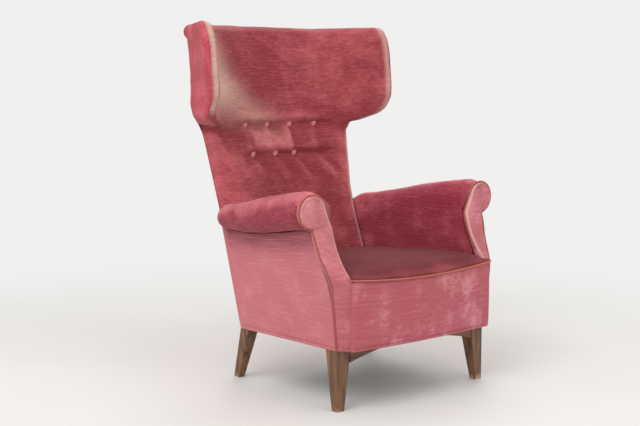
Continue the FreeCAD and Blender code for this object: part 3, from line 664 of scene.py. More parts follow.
# Painted light and shade: beside each fold one side is lightened and the other darkened.
for fold in FOLDS:
    run, off = beside(fold, x, z)
    shade = rising(run, -0.05, 0.15) * (1 - rising(run, 0.7, 1.15)) * on_front * fold[2] / 4.6
    nap_and_painted_light += shade * (0.34 * bump(off, 16, 14) - 0.3 * bump(off, -12, 14))
front_run = np.linalg.norm(np.diff(inside, axis=1), axis=2)
weft = np.concatenate([np.zeros((len(inside), 1)), np.cumsum(front_run, axis=1)], axis=1)
weft = np.where(np.arange(places)[None, :] > places // 2, weft - weft[:, -1:], weft)
back_velvet = velvet("velvet_back", dye(130, 44, 54), dye(200, 104, 112), dye(222, 148, 130),
                     dye(236, 206, 190), slubby=0.6)
inside_back = skin("inside_back", inside, loop=True, capped=True, sides=weft, worn=worn, nap_and_painted_light=nap_and_painted_light)
fitted(inside_back, back_velvet, "velvet", "back_pad", "wing_pad_left", "wing_pad_right")


# The covered buttons
# Domed button moulds covered in scraps of the same velvet, gathered behind, and tied through to
# the webbing with waxed twine. The eighth, low on the right, is lost.
back_way = np.array([0, -1, RAKE]) / lean
up_way = np.array([0, RAKE, 1]) / lean
button_velvet = velvet("velvet_button", dye(196, 112, 116), dye(232, 172, 164), dye(236, 190, 170),
                       dye(226, 178, 166), 0.3)


def full_turn(count):
    """Angles evenly spaced all the way round."""
    return np.linspace(0, 2 * math.pi, count + 1)[:-1]


def strand(name, line, offset, thread, start, pitch):
    """A round strand of this thickness winding about a line at an offset, one turn to each pitch."""
    ways = np.gradient(line, axis=0)
    ways /= np.linalg.norm(ways, axis=1, keepdims=True)
    side_way = np.zeros_like(ways)
    side_way[0] = np.cross(ways[0], (0.3, 0.2, 1.0))
    side_way[0] /= np.linalg.norm(side_way[0])
    for k in range(1, len(ways)):
        side_way[k] = side_way[k - 1] - ways[k] * (side_way[k - 1] @ ways[k])
        side_way[k] /= np.linalg.norm(side_way[k])
    up = np.cross(ways, side_way)
    twist = (np.linspace(0, length_of(line), len(line)) / pitch + start) * 2 * math.pi
    core = line + offset * (np.cos(twist)[:, None] * side_way + np.sin(twist)[:, None] * up)
    turns = full_turn(8)
    ring = np.cos(turns)[None, :, None] * side_way[:, None] + np.sin(turns)[None, :, None] * up[:, None]
    return skin(name, core[:, None] + thread * ring, loop=True, capped=True)


twine = Finish("waxed_twine", 0.6, 0.3)
ply = twine.mottle(twine.place(cloth=True), (1500, 300, 1), 2, (0, 0, 30))
twine.coloured(twine.blend(twine.between(ply, 0.35, 0.65), dye(150, 124, 84), dye(214, 192, 146)))
twine.raised(ply, 0.0002)
TIE_LENGTH = 8.0
PLY_R = 0.5
PLY_PITCH = 3.5
BUTTON_R = 12.8
BUTTON_H = 5.6
LOST_BUTTON = (682, 134)
share_up, share_round = grid(14, 41)
share_round = share_round[:, :-1]
share_up = share_up[:, :-1]
button_count = 0
for level, columns in BUTTONS:
    for place_x in columns:
        away = np.hypot(inside[..., 0] - place_x, inside[..., 2] - level) + 1e6 * ~on_front
        seat_at = inside[np.unravel_index(away.argmin(), away.shape)]
        lost = (level, place_x) == LOST_BUTTON
        tie = seat_at + np.linspace(1.5 if lost else -0.5, -TIE_LENGTH, 30)[:, None] * back_way
        tie_number = 8 if lost else button_count + 1
        for number in (0, 1):
            ply_piece = strand(f"tie_{tie_number}_ply_{number}", tie, 0.45, PLY_R, number / 2, PLY_PITCH)
            fitted(ply_piece, twine, "twine", "button_ties")
        if lost:
            continue
        button_count += 1
        around = share_round * 2 * math.pi
        lift = np.sin(share_up * math.pi / 2)
        wide = BUTTON_R * np.cos(share_up * math.pi / 2) ** 0.8
        wide = wide * (1 + 0.035 * np.cos(9 * around + place_x) * (1 - share_up)) + 0.02
        pinch = np.exp(-((np.sin(around * 0.5 + place_x) * 9) ** 2)) * lift * (1 - lift) * 4
        tall = BUTTON_H * lift - 1.9 * pinch
        points = (seat_at + (0.84 * wide * np.cos(around))[..., None] * np.array([0.96, 0, 0.28])
                  + (1.08 * wide * np.sin(around))[..., None] * up_way + (tall - 1.0)[..., None] * back_way)
        button = skin(f"button_{button_count}", points, loop=True, capped=True)
        fitted(button, button_velvet, "velvet", "back_buttons")


# The top roll and the outside covers of the wings and the back
# The top edge is a stuffed roll gathered in at its ends. The wings' outsides and the outside back
# are separate panels, slip-stitched along their edges over the inside cover.
outside_velvet = velvet("velvet_outside", dye(168, 58, 76), dye(216, 112, 126), dye(230, 154, 140),
                        dye(206, 160, 148))
wing_velvet = velvet("velvet_wing", dye(170, 58, 74), dye(214, 104, 116), dye(232, 158, 144),
                     dye(206, 160, 148), 0.6)
wing_velvet.shader.inputs["Sheen Weight"].default_value = 0.2
ROLL_R = 24.0
turn_share = np.linspace(-1, 1, 23)
ball_x = ROLL_HALF + ROLL_R * np.sin(turn_share * math.pi / 2)
ball_x = ball_x[turn_share >= 0]
stations = np.concatenate([-ball_x[::-1], np.linspace(-ROLL_HALF, ROLL_HALF, 90)[1:-1], ball_x])
beyond = np.clip((np.abs(stations) - ROLL_HALF) / ROLL_R, 0, 1)
radius = ROLL_R * np.sqrt(np.maximum(1 - beyond ** 2, 0.0004))
around = full_turn(72)
gathered = rising(np.abs(stations), ROLL_HALF - 14, ROLL_HALF + 20)
rolled = radius[:, None] * (1 + 0.035 * np.cos(11 * around)[None, :] * gathered[:, None])
x = np.repeat(stations[:, None], len(around), axis=1)
roll_points = np.stack([x, ROLL_Y + rolled * np.cos(around), TURN_Z + rolled * np.sin(around)], axis=-1)
ends = rising(np.abs(x), ROLL_HALF - 30, ROLL_HALF + 10)
roll_points[..., 1:] += (0.6 * unevenness(roll_points, 60, 8) * (1 - ends))[..., None]
top_roll = skin("crest_roll", roll_points, loop=True, capped=True, turned=True,
                nap_and_painted_light=0.02 + 0.1 * (1 - ends))
fitted(top_roll, outside_velvet, "velvet", "top_roll")

SIDES = ((1, "right"), (-1, "left"))
WING_PANEL_LOW = 786
wing_from = int(np.searchsorted(levels, WING_PANEL_LOW))
for sign, side in SIDES:
    panel = right[wing_from:-4, front_end + 7:rim_end + WING_COLUMNS + 1].copy()
    ways = facing_ways(panel)
    up_share, back_share = grid(*panel.shape[:2])
    tall = np.linalg.norm(np.diff(panel, axis=0), axis=2).sum(axis=0).mean()
    deep = np.linalg.norm(np.diff(panel, axis=1), axis=2).sum(axis=1).mean()
    from_ends = np.minimum(up_share, 1 - up_share) * tall
    edge = np.minimum(from_ends, np.minimum(back_share, 1 - back_share) * deep)
    lay = 3.0 * np.sqrt(rising(edge, -1, 12)) - 0.4 + 0.4 * unevenness(panel, 70, 11)
    panel = (panel + ways * lay[..., None]) * (sign, 1, 1)
    nap_and_painted_light = 0.3 + 0.25 * bump(up_share, 0.1, 0.16) + 0.2 * unevenness(panel, 90, 12)
    cover = thick(skin(f"wing_outside_{side}", panel, nap_and_painted_light=nap_and_painted_light), 0.0018)
    fitted(cover, wing_velvet, "velvet", f"wing_outer_{side}")


def read_off(table, at):
    """Reads a table of pairs at a place, in straight lines from pair to pair."""
    return np.interp(at, *np.array(table).T)


# Height and half width of the outside back
BACK_TOP = 1040.0
OUTER_BACK = ((165, 289), (438, 277), (520, 275), (746, 276), (790, 289), (832, 296), (872, 286),
              (950, 268), (1040, 254))
up_share, across_share = grid(150, 90)
z = REAR_HEM + up_share * (BACK_TOP - REAR_HEM)
outer_half = read_off(OUTER_BACK, z) - 1
x = (across_share * 2 - 1) * outer_half
edge = np.minimum(outer_half - np.abs(x), np.minimum(z - REAR_HEM, BACK_TOP - z))
sink = 3.0 * (1 - np.sqrt(rising(edge, -1, 5))) + 1.6 * rising(edge, 10, 120)
lumps = 0.3 * unevenness(np.stack([x, z, x * 0], axis=-1), 90, 14)
points = np.stack([x, rear(z) - sink + lumps, z], axis=-1)
outside_back = thick(skin("outside_back", points, nap_and_painted_light=0.1 * unevenness(points, 160, 15) + 0.1), 0.0018)
fitted(outside_back, outside_velvet, "velvet", "outer_back")


# The arms
# One cover runs from the deck up the inside, over the hair-stuffed roll and under it to the side.
# The inside and the roll lean on the back and are closed in front by the facings.

# Along the arm: the y, the height of the roll's top and its radius
ROLL_ROWS = ((-410, 556, 44), (-306, 557, 45), (-290, 557, 52), (-262, 554, 53), (-94, 529, 53),
             (16, 511, 48), (106, 502, 41), (150, 498, 38), (176, 495, 30))
# Height and y of the arm's front edge, behind the facing
ARM_FRONT = ((300, -371), (364, -362), (405, -346), (438, -327), (479, -315), (515, -306), (640, -306))
PAD_T = 17.0
ARM_LOW = 300.0
ROLL_FRONT = -306.0
WALL_PLACES = 30


def arm_outside(y, z):
    """The x of the outside of the arm, which leans out in front and in behind."""
    share = np.clip((y + 320) / (rear(z) + 320), 0, 1)
    return (297 + 0.125 * (z - 174)) * (1 - share) + (293 - 0.044 * (z - 165)) * share


def arm_inside(y):
    """The x of the inside of the arm, which closes in toward the back."""
    return 270 - 39 * (y + 404) / 504


def arm_outline(y):
    """Section of an arm: up the inside, over the roll, under it, and down beside the stump."""
    level, radius = eased(ROLL_ROWS, y)
    centre = arm_outside(y, level - radius) - 5
    inner = arm_inside(y)
    ramp = np.linspace(0, 1, WALL_PLACES)
    wall = np.stack([np.full(WALL_PLACES, inner), ARM_LOW + ramp * (level - 14 - ARM_LOW)], axis=1)

    def round_roll(start, end, count):
        """Points round the roll, from one angle to another."""
        turns = np.radians(np.linspace(start, end, count)[1:])
        return np.stack([centre + radius * np.cos(turns), level + radius * np.sin(turns)], axis=1)

    shoulder = round_roll(172, 90, 18)
    crown_x = centre - radius * 0.995
    shoulder[:, 0] += (inner - crown_x) * (1 - np.linspace(0, 1, len(shoulder))) ** 1.5
    outer = round_roll(90, -86, 34)
    low = level - radius
    under = np.stack([np.linspace(centre + 3, inner + PAD_T, 8)[1:], np.full(7, low)], axis=1)
    down = np.stack([np.full(12, inner + PAD_T), np.linspace(low, ARM_LOW, 13)[1:]], axis=1)
    return np.vstack([wall, shoulder, outer, under, down])


def arm_rear(z):
    """The y where the arm's rear end meets the back."""
    return np.minimum(176, rear(z) - 10)


arm_velvet = velvet("velvet_arm", dye(138, 40, 58), dye(206, 112, 124), dye(220, 140, 134),
                    dye(222, 180, 176))
arm_rows = 112
share_back = np.linspace(0, 1, arm_rows)
first = arm_outline(-200)
arm_places = len(first)
for sign, side in SIDES:
    points = np.zeros((arm_rows, arm_places, 3))
    for row, share in enumerate(share_back):
        y = np.full(arm_places, ROLL_FRONT + share * 470)
        for _ in range(3):
            sections = np.array([arm_outline(v) for v in np.linspace(y.min(), y.max(), 9)])
            spot = (y - y.min()) / max(y.max() - y.min(), 1e-6) * 8
            low = np.clip(spot.astype(int), 0, 7)
            part = (spot - low)[:, None]
            place = np.arange(arm_places)
            xz = sections[low, place] * (1 - part) + sections[low + 1, place] * part
            front_y = read_off(ARM_FRONT, xz[:, 1])
            y = front_y + share * (arm_rear(xz[:, 1]) - front_y)
        points[row] = np.stack([xz[:, 0], y, xz[:, 1]], axis=1)
    ways = facing_ways(points, loop=True)
    middle = points.mean(axis=1, keepdims=True)
    ways *= np.sign(((points - middle) * ways).sum(axis=-1, keepdims=True).mean())
    ends = rising(share_back, 0, 0.03) * (1 - rising(share_back, 0.96, 1.0))
    soft = 1.1 * unevenness(points, 95, 21 + sign) + 0.4 * unevenness(points, 34, 24)
    soft -= 2.5 * bump(share_back[:, None], 0.028, 0.02)
    points += ways * (soft * ends[:, None])[..., None]
    column = np.arange(arm_places)[None, :]
    top_at = WALL_PLACES + 14
    # Painted light and shade: lighter over the top of the roll and darker down its outer side and under it.
    # The line along the top, in both shares, is a painted highlight together with some wear.
    nap_and_painted_light = 0.1 + 0.16 * rising(column, 30, 42) + 0.34 * rising(column, 46, 54) - 0.8 * rising(column, 54, 68)
    nap_and_painted_light = nap_and_painted_light + 0.5 * bump(column, top_at, 3.2) + 0.12 * unevenness(points, 80, 27)
    nap_and_painted_light += 0.35 * bump(share_back[:, None], 1, 0.16)
    worn = 0.75 * bump(column, top_at, 2.0) * rising(share_back[:, None], 0.02, 0.2)
    arm = skin(f"arm_{side}", points * (sign, 1, 1), loop=True, capped=True, turned=True,
               worn=worn, nap_and_painted_light=nap_and_painted_light)
    fitted(arm, arm_velvet, "velvet", f"arm_pad_{side}")


# The outside panels of the arms
# Velvet over lining, stretched from under the roll to the hem, where it is turned under and
# tacked to the rail.
# Its fourth colour, reached through the worn share, is the dark of a painted shadow under the arm roll.
side_velvet = velvet("velvet_side", dye(192, 106, 115), dye(234, 164, 168), dye(236, 180, 176),
                     dye(124, 48, 60), 0.3, 0.25)
# Height and y of the panel's front edge, then y and height of its upper edge
SIDE_FRONT = ((174, -372), (300, -372), (364, -361), (405, -342), (438, -325), (479, -316), (504, -304))
SIDE_TOP = ((-304, 504), (-262, 500), (-172, 485), (-94, 475), (16, 462), (80, 461), (152, 461),
            (176, 504), (190, 510), (204, 514))
HEM_Z = 174.0
HEM_SEWN = 9.0
SEWN_Z = HEM_Z + HEM_SEWN
HEM_GROOVE = 2.8
HEM_FRONT = -372.0
HEM_RUN = 453.0
PANEL_DEEP = 450
PANEL_TALL = 300


def hem_level(y):
    """The height of a side hem, which falls a little toward the back."""
    return HEM_Z - (y - HEM_FRONT) / HEM_RUN * (HEM_Z - REAR_HEM)


up_share, back_share = grid(110, 150)
y = HEM_FRONT + back_share * HEM_RUN
for _ in range(20):
    low = hem_level(y)
    z = low + up_share * (read_off(SIDE_TOP, y) - low)
    front_y = read_off(SIDE_FRONT, z)
    y = front_y + back_share * (rear(z) - 1 - front_y)
edge = np.minimum(np.minimum(back_share, 1 - back_share) * PANEL_DEEP, (1 - up_share) * PANEL_TALL)
hollow = 1.4 * rising(np.minimum(edge, up_share * PANEL_TALL), 5, 110)
hollow += 2.4 * (1 - np.sqrt(rising(edge, -1, 5)))
for sign, side in SIDES:
    flat_panel = np.stack([arm_outside(y, z), y, z], axis=-1)
    ripple = 0.5 * unevenness(flat_panel, 75, 31 + sign) * rising(edge, 0, 30)
    hem_groove = 1.8 * bump(z - hem_level(y), HEM_SEWN, HEM_GROOVE)
    flat_panel[..., 0] += ripple - hollow - hem_groove
    turned_under = [flat_panel[:1] + (-4 + 4 * math.cos(a), 0, -1.6 * math.sin(a)) for a in
                    (math.pi, 0.75 * math.pi, math.pi / 2, math.pi / 4)]
    panel = np.vstack([turned_under[0] + (-6, 0, 0.5)] + turned_under + [flat_panel])
    nap_and_painted_light = 0.12 + 0.07 * unevenness(panel, 75, 35) + 0.05 * unevenness(panel, 22, 36)
    # Painted shadow: the panel is darkened below its top edge, where the arm roll overhangs it.
    painted_roll_shadow = np.zeros_like(nap_and_painted_light)
    painted_roll_shadow[5:] = bump((1 - up_share) * PANEL_TALL, 0, 60)
    cover = thick(skin(f"arm_outside_{side}", panel * (sign, 1, 1), worn=painted_roll_shadow, nap_and_painted_light=nap_and_painted_light), 0.0018)
    fitted(cover, side_velvet, "velvet", f"side_cover_{side}")


# The facings of the arms, with their scrolls, gimp cord and hems
# A padded strip of velvet widening into a round scroll, closed over the front of the arm and edged
# with twisted gimp.

# Height, x of the outer edge, then y of the outer and inner front edges and of the inner and
# outer back edges
FACING_ROWS = ((HEM_Z, 297, -374, -404, -373, -372.5), (300, 311, -376, -404, -373, -372.5),
               (364, 318, -376, -404, -366, -362), (405, 324, -357, -374, -350, -343),
               (438, 331, -340, -350, -330, -326), (479, 336, -331, -332, -316, -317),
               (512, 338.5, -320.5, -321.5, ROLL_FRONT, ROLL_FRONT))
SCROLL = np.array([337.0, 555.0])
SCROLL_R = 45.0
facing_velvet = velvet("velvet_facing", dye(176, 90, 102), dye(224, 150, 154), dye(232, 174, 164),
                       dye(222, 176, 170))


def rounded(inward, radius):
    """0 at an edge and 1 from the radius inward, along a quarter of a circle."""
    return np.sqrt(1 - np.clip(1 - inward / radius, 0, 1) ** 2)


FACING_INNER = 270.0
FACING_PLACES = 34
STRIP_TOP = 512
# Where the strip's inner edge slants up to the scroll: its height, rise and run
NECK_LOW = 510
NECK_RISE = 61.9
NECK_IN = 25.3
strip_levels = np.linspace(HEM_Z, STRIP_TOP, 110)
scroll_turns = np.radians(np.linspace(17, 178, 64))
sections = []
for z in strip_levels:
    sections.append((z, FACING_INNER, *eased(FACING_ROWS, z)))
for turn in scroll_turns:
    z = SCROLL[1] - SCROLL_R * math.cos(turn)
    reach = SCROLL_R * math.sin(turn)
    inner = SCROLL[0] - reach
    if z < NECK_LOW + NECK_RISE:
        inner = FACING_INNER + max(z - NECK_LOW, 0) * NECK_IN / NECK_RISE
    sections.append((z, inner, SCROLL[0] + reach, *FACING_ROWS[-1][2:]))
sections = np.array(sections)
z, inner, outer, outer_y, inner_y, inner_back, outer_back = sections.T[:, :, None]
across = np.linspace(0, 1, FACING_PLACES)[None, :]
shoulder = rounded(np.minimum(across, 1 - across) * (outer - inner), 3.2)
bulge = np.where(z > STRIP_TOP, 1.0, 0.8) * 3.6 * (4 * across * (1 - across)) ** 0.5
round_share = np.minimum(np.arange(len(z)), len(z) - 1 - np.arange(len(z)))[:, None]
top_round = rounded(round_share, 6.0)
from_centre = np.hypot(inner + across * (outer - inner) - SCROLL[0], z - SCROLL[1])
whorl = 1.2 * bump(from_centre, 33, 4.0) * rising(z, 515, 535)
drop = np.where(z < 500, 2.4, 4.5)
front_y = inner_y + across * (outer_y - inner_y) - bulge * top_round + (1 - shoulder) * drop + whorl
front_y += (1 - top_round) * 4.0 * (z > 500)
front_x = inner + across * (outer - inner)
front_face = np.stack([front_x, front_y, z + 0 * across], axis=-1)
back_across = across[:, ::-4]
back_face = np.stack([inner + back_across * (outer - inner),
                      inner_back + back_across * (outer_back - inner_back), z + 0 * back_across], axis=-1)
facing = np.concatenate([front_face, back_face], axis=1)
for sign, side in SIDES:
    stuffed = facing.copy()
    stuffed[:, :FACING_PLACES, 1] -= 0.6 * unevenness(front_face, 60, 41 + sign) * top_round
    stuffed[:, :FACING_PLACES, 1] += 1.8 * bump(z, SEWN_Z, HEM_GROOVE)
    nap_and_painted_light = 0.15 + 0.3 * rising(stuffed[..., 2], 330, 560) + 0.12 * unevenness(stuffed, 45, 44)
    # Painted highlight: along the facing's inner edge both shares are raised into a pale line.
    worn = np.zeros(stuffed.shape[:2])
    worn[:, :3] = 0.8
    nap_and_painted_light[:, :FACING_PLACES] += 0.35 * bump(across, 0, 0.06)
    piece = skin(f"scroll_facing_{side}", stuffed * (sign, 1, 1), loop=True, capped=True, worn=worn,
                 nap_and_painted_light=nap_and_painted_light)
    fitted(piece, facing_velvet, "velvet", f"arm_facing_{side}")


def spun(name, dark, light, gloss):
    """A strand of spun thread."""
    finish = Finish(name, 0.65, gloss)
    ply = finish.mottle(finish.place(cloth=True), (800, 800, 1), 2)
    finish.coloured(finish.blend(finish.between(ply, 0.35, 0.65), dark, light))
    finish.raised(ply, 0.0003)
    return finish


GIMP_PITCH = 8.0
GIMP_STEP = 0.9
gimp_rose = spun("gimp_rose", dye(122, 44, 46), dye(164, 70, 66), 0.25)
gimp_tan = spun("gimp_tan", dye(190, 104, 82), dye(224, 146, 118), 0.25)
gimp_bright = spun("gimp_bright", dye(206, 140, 120), dye(238, 196, 174), 0.3)


def corners_cut(line):
    """The line with its corners cut off three times over, which leaves a smooth curve."""
    for _ in range(3):
        near = line[:-1] * 0.75 + line[1:] * 0.25
        far = line[:-1] * 0.25 + line[1:] * 0.75
        cut = np.stack([near, far], axis=1).reshape(-1, line.shape[1])
        line = np.vstack([line[:1], cut, line[-1:]])
    return line


def gimp(name, route, node):
    """Two strands twisted about each other along a route, with a thin bright thread round them."""
    route = corners_cut(np.array(route, float))
    line = resampled(route, int(length_of(route) / GIMP_STEP))
    for number, (offset, thread, start, finish) in enumerate(
            ((1.4, 1.55, 0.0, gimp_rose), (1.4, 1.55, 0.5, gimp_tan), (2.5, 0.42, 0.25, gimp_bright))):
        piece = strand(f"{name}_strand_{number}", line, offset, thread, start, GIMP_PITCH)
        fitted(piece, finish, "gimp_cord", node)


CORD_R = SCROLL_R + 2.9
scroll_ring = [(SCROLL[0] + CORD_R * math.cos(a), -316.5, SCROLL[1] + CORD_R * math.sin(a))
               for a in np.radians(np.linspace(-78, 150, 40))]
cord_route = [(299.9, -374.5, 175.5), (313.9, -376.5, 300), (320.9, -376.5, 362), (326.9, -357.5, 405),
              (333.9, -339.5, 440), (338.9, -330.5, 479), (341.5, -319.5, 504)]
cord_route += scroll_ring
cord_route += [(282.0, -313, 540), (268.0, -312.5, 512), (267.1, -323, 479), (267.1, -341, 440),
               (267.1, -362, 407)]
for sign, side in SIDES:
    gimp(f"facing_gimp_{side}", np.array(cord_route) * (sign, 1, 1), f"facing_cord_{side}")


# The seat, its border and the cord on its seam
# A sprung seat, stuffed and crowned, with a bowed border below its seam and a twisted cord laid
# along it. It is sewn down, not a loose cushion.
def seam_z(x):
    """The height of the seat's front seam, which rises toward its ends."""
    return 360 + 13 * (x / 270) ** 2


def bow_y(x):
    """The y of the seat's front edge, which is bowed."""
    return -432.5 + 14 * (x / 275) ** 2


SEAT_TOP = 400.0
SEAT_HALF = 274.0
AHEAD_OF_ARMS = -404.6
seat_velvet = velvet("velvet_seat", dye(98, 38, 44), dye(164, 78, 84), dye(168, 92, 84),
                     dye(108, 58, 54), 0.3, 0.2)
seat_velvet.shader.inputs["Sheen Weight"].default_value = 0.2
up_across = np.linspace(-1, 1, 116)
seat_rows = []
for share in up_across:
    front = bow_y(SEAT_HALF * share)
    seam = seam_z(SEAT_HALF * share)
    crown = 5 * (1 - share ** 2) - 2
    outline = np.array([
        (-373, 300), (front + 2, seam - 8), (front, seam), (front + 3, seam + 10),
        (front + 19, SEAT_TOP - 14 + crown * 0.6), (front + 46, SEAT_TOP - 5 + crown),
        (front + 84, SEAT_TOP - 1 + crown), (-290, SEAT_TOP + crown), (-180, SEAT_TOP - 3 + crown),
        (-50, SEAT_TOP - 12 + crown * 0.6), (78, 374), (60, 300)])
    edge_round = rising(abs(share), 0.9, 1.0)
    outline[4:10, 1] -= 9 * edge_round
    outline = resampled(corners_cut(outline), 130)
    half_wide = np.where(outline[:, 0] < AHEAD_OF_ARMS, SEAT_HALF, arm_inside(outline[:, 0]) + 1)
    half_wide = np.minimum(half_wide, SEAT_HALF)
    seat_rows.append(np.column_stack([share * half_wide, outline]))
seat_points = np.array(seat_rows)
lumps = 0.9 * unevenness(seat_points, 130, 51) + 0.3 * unevenness(seat_points, 50, 52)
seat_points[..., 2] += lumps * rising(seat_points[..., 2], 375, 392)
sat_on = bump(seat_points[..., 0], 30, 150) * bump(seat_points[..., 1], -190, 110)
nap_and_painted_light = 0.06 + 0.35 * (1 - rising(seat_points[..., 2], 350, 392)) + 0.1 * unevenness(seat_points, 110, 53)
nap_and_painted_light += 0.3 * bump(seat_points[..., 1] - bow_y(seat_points[..., 0]), 12, 12)
seat = skin("seat", seat_points, loop=True, capped=True, turned=True, worn=0.6 * sat_on, nap_and_painted_light=nap_and_painted_light)


SWELL_STEPS = 20


def swollen(piece, held, pressure, furthest):
    """Lets the stuffing swell a piece as cloth under pressure, held where held says, and no further
    than furthest millimetres."""
    mesh = piece.data
    count = len(mesh.vertices)
    before = np.zeros(count * 3, np.float32)
    mesh.vertices.foreach_get("co", before)
    before = before.reshape(-1, 3)
    group = piece.vertex_groups.new(name="held")
    for number in np.flatnonzero(held(before * 1000)):
        group.add([int(number)], 1.0, "REPLACE")
    cloth = piece.modifiers.new("cloth", "CLOTH")
    cloth.settings.quality = 6
    cloth.settings.mass = 0.4
    cloth.settings.tension_stiffness = 40
    cloth.settings.compression_stiffness = 40
    cloth.settings.shear_stiffness = 12
    cloth.settings.bending_stiffness = 2
    cloth.settings.vertex_group_mass = "held"
    cloth.settings.use_pressure = True
    cloth.settings.uniform_pressure_force = pressure
    cloth.settings.effector_weights.gravity = 0
    cloth.collision_settings.use_collision = False
    cloth.point_cache.frame_end = SWELL_STEPS
    scene = bpy.context.scene
    for step in range(1, SWELL_STEPS + 1):
        scene.frame_set(step)
    after = np.zeros(count * 3, np.float32)
    shown = piece.evaluated_get(bpy.context.evaluated_depsgraph_get())
    shown.to_mesh().vertices.foreach_get("co", after)
    shown.to_mesh_clear()
    moved = after.reshape(-1, 3) - before
    far = np.linalg.norm(moved, axis=1, keepdims=True) + 1e-12
    limit = furthest * 0.001
    moved *= np.tanh(far / limit) * limit / far
    piece.modifiers.remove(cloth)
    piece.vertex_groups.remove(group)
    scene.frame_set(1)
    mesh.vertices.foreach_set("co", (before + moved).ravel())
    mesh.update()


def seat_held(spots):
    """The spots of the seat that its seam, the back and the arms hold still."""
    x, y, z = spots.T
    return (z < seam_z(x) + 3) | (y > 30) | (np.abs(x) > 266)


swollen(seat, seat_held, 2.0, 6)
fitted(seat, seat_velvet, "velvet", "seat_pad")

border_velvet = velvet("velvet_border", dye(176, 84, 97), dye(224, 152, 158), dye(230, 168, 162),
                       dye(204, 150, 144), 0.6, 0.3)
BORDER_TALL = 190
up_share, across_share = grid(70, 150)
x = (across_share * 2 - 1) * SEAT_HALF
z = HEM_Z + up_share * (seam_z(x) - 1 - HEM_Z)
end_in = SEAT_HALF - np.abs(x)
front_y = bow_y(x) - 2.0 * np.sin(np.clip(up_share, 0, 1) * math.pi) ** 0.7 + 1.0
front_y += 4 * (1 - rounded(end_in, 4.0))
front_y += 3.5 * (1 - rounded(up_share * BORDER_TALL, 3.5))
front_y += 4.0 * (1 - rounded((1 - up_share) * BORDER_TALL, 4.0))
front_y += 2.2 * bump(z, SEWN_Z, HEM_GROOVE)
front_part = np.stack([x, front_y, z], axis=-1)
lumps = 0.7 * unevenness(front_part, 90, 61)
front_part[..., 1] -= lumps * rising(end_in, 0, 20) * rising(up_share, 0, 0.15)
back_x = np.linspace(SEAT_HALF, -SEAT_HALF, 31)[None, :] + np.zeros((len(z), 1))
back_z = HEM_Z + up_share[:, :31] * (seam_z(back_x) - 1 - HEM_Z)
back_part = np.stack([back_x, np.full_like(back_x, -398.0), back_z], axis=-1)
border_points = np.concatenate([front_part, back_part], axis=1)
brushed = unevenness(border_points * (1, 1, 0.35), 60, 63)
nap_and_painted_light = 0.15 + 0.28 * brushed + 0.1 * unevenness(border_points, 30, 64)
nap_and_painted_light -= 0.3 * (1 - rising(border_points[..., 0], -270, -170))
border = skin("front_border", border_points, loop=True, capped=True, nap_and_painted_light=nap_and_painted_light)
fitted(border, border_velvet, "velvet", "seat_border")

seam_x = np.linspace(-SEAT_HALF, SEAT_HALF, 60)
seam_route = np.stack([seam_x, bow_y(seam_x) - 2.9, seam_z(seam_x) - 0.5], axis=1)
ends_in = np.array([(277.2, bow_y(SEAT_HALF) + 4, seam_z(SEAT_HALF)), (277.4, -406, seam_z(SEAT_HALF))])
seam_route = np.vstack([(ends_in * (-1, 1, 1))[::-1], seam_route, ends_in])
gimp("seat_gimp", seam_route, "seat_cord")


STITCH_STEP = 1.5
STITCH_STEPS = 8
STITCH_POINTS = 6
STITCH_SIDES = 5


def stitches(name, route, way):
    """A row of short sewn stitches lying along a route, each dipping into the cloth at its ends."""
    line = resampled(route, int(length_of(route) / STITCH_STEP))
    count = len(line) // STITCH_STEPS
    way = np.array(way)
    turns = full_turn(STITCH_SIDES)
    made = bmesh.new()
    for number in range(count):
        run = line[number * STITCH_STEPS:number * STITCH_STEPS + STITCH_POINTS]
        along_way = run[-1] - run[0]
        along_way /= np.linalg.norm(along_way)
        side_way = np.cross(along_way, way)
        rings = []
        for k, spot in enumerate(run):
            lift = math.sin(k / (STITCH_POINTS - 1) * math.pi)
            thick_here = 0.25 + 0.8 * lift
            centre = spot + way * (1.3 * lift - 0.5)
            edge_ways = [math.cos(a) * side_way + math.sin(a) * way for a in turns]
            rings.append([made.verts.new((centre + thick_here * outward) * 0.001) for outward in edge_ways])
        for near, far in zip(rings[:-1], rings[1:]):
            for k in range(STITCH_SIDES):
                after = (k + 1) % STITCH_SIDES
                made.faces.new((near[k], near[after], far[after], far[k]))
        made.faces.new(rings[0][::-1])
        made.faces.new(rings[-1])
    bmesh.ops.recalc_face_normals(made, faces=made.faces)
    mesh = bpy.data.meshes.new(name)
    made.to_mesh(mesh)
    made.free()
    mesh.shade_smooth()
    return placed(name, mesh)


hem_thread = Finish("hem_thread", 0.7, 0.3)
twisted = hem_thread.mottle(hem_thread.place(), (1400, 1400, 1400), 2)
hem_thread.coloured(hem_thread.blend(hem_thread.between(twisted, 0.35, 0.65), dye(112, 34, 48),
                                     dye(146, 52, 66)))
hem_x = np.linspace(-262, 262, 300)
hem_row = int(np.argmin(np.abs(z[:, 75] - SEWN_Z)))
hem_line = np.stack([hem_x, np.interp(hem_x, front_part[hem_row, :, 0], front_part[hem_row, :, 1]),
                     np.full_like(hem_x, SEWN_Z)], axis=1)
fitted(stitches("hem_stitches_front", hem_line, (0.0, -1.0, 0.0)), hem_thread, "velvet")
facing_row = int(np.argmin(np.abs(strip_levels - SEWN_Z)))
facing_hem = facing[facing_row, 3:31] + (0, 1.6, 0)
facing_way = np.array([0.74, -0.67, 0.0])
hem_y = np.linspace(-362, 74, 200)
hem_z = hem_level(hem_y) + HEM_SEWN
side_hem = np.stack([arm_outside(hem_y, hem_z) - 1.9, hem_y, hem_z], axis=1)
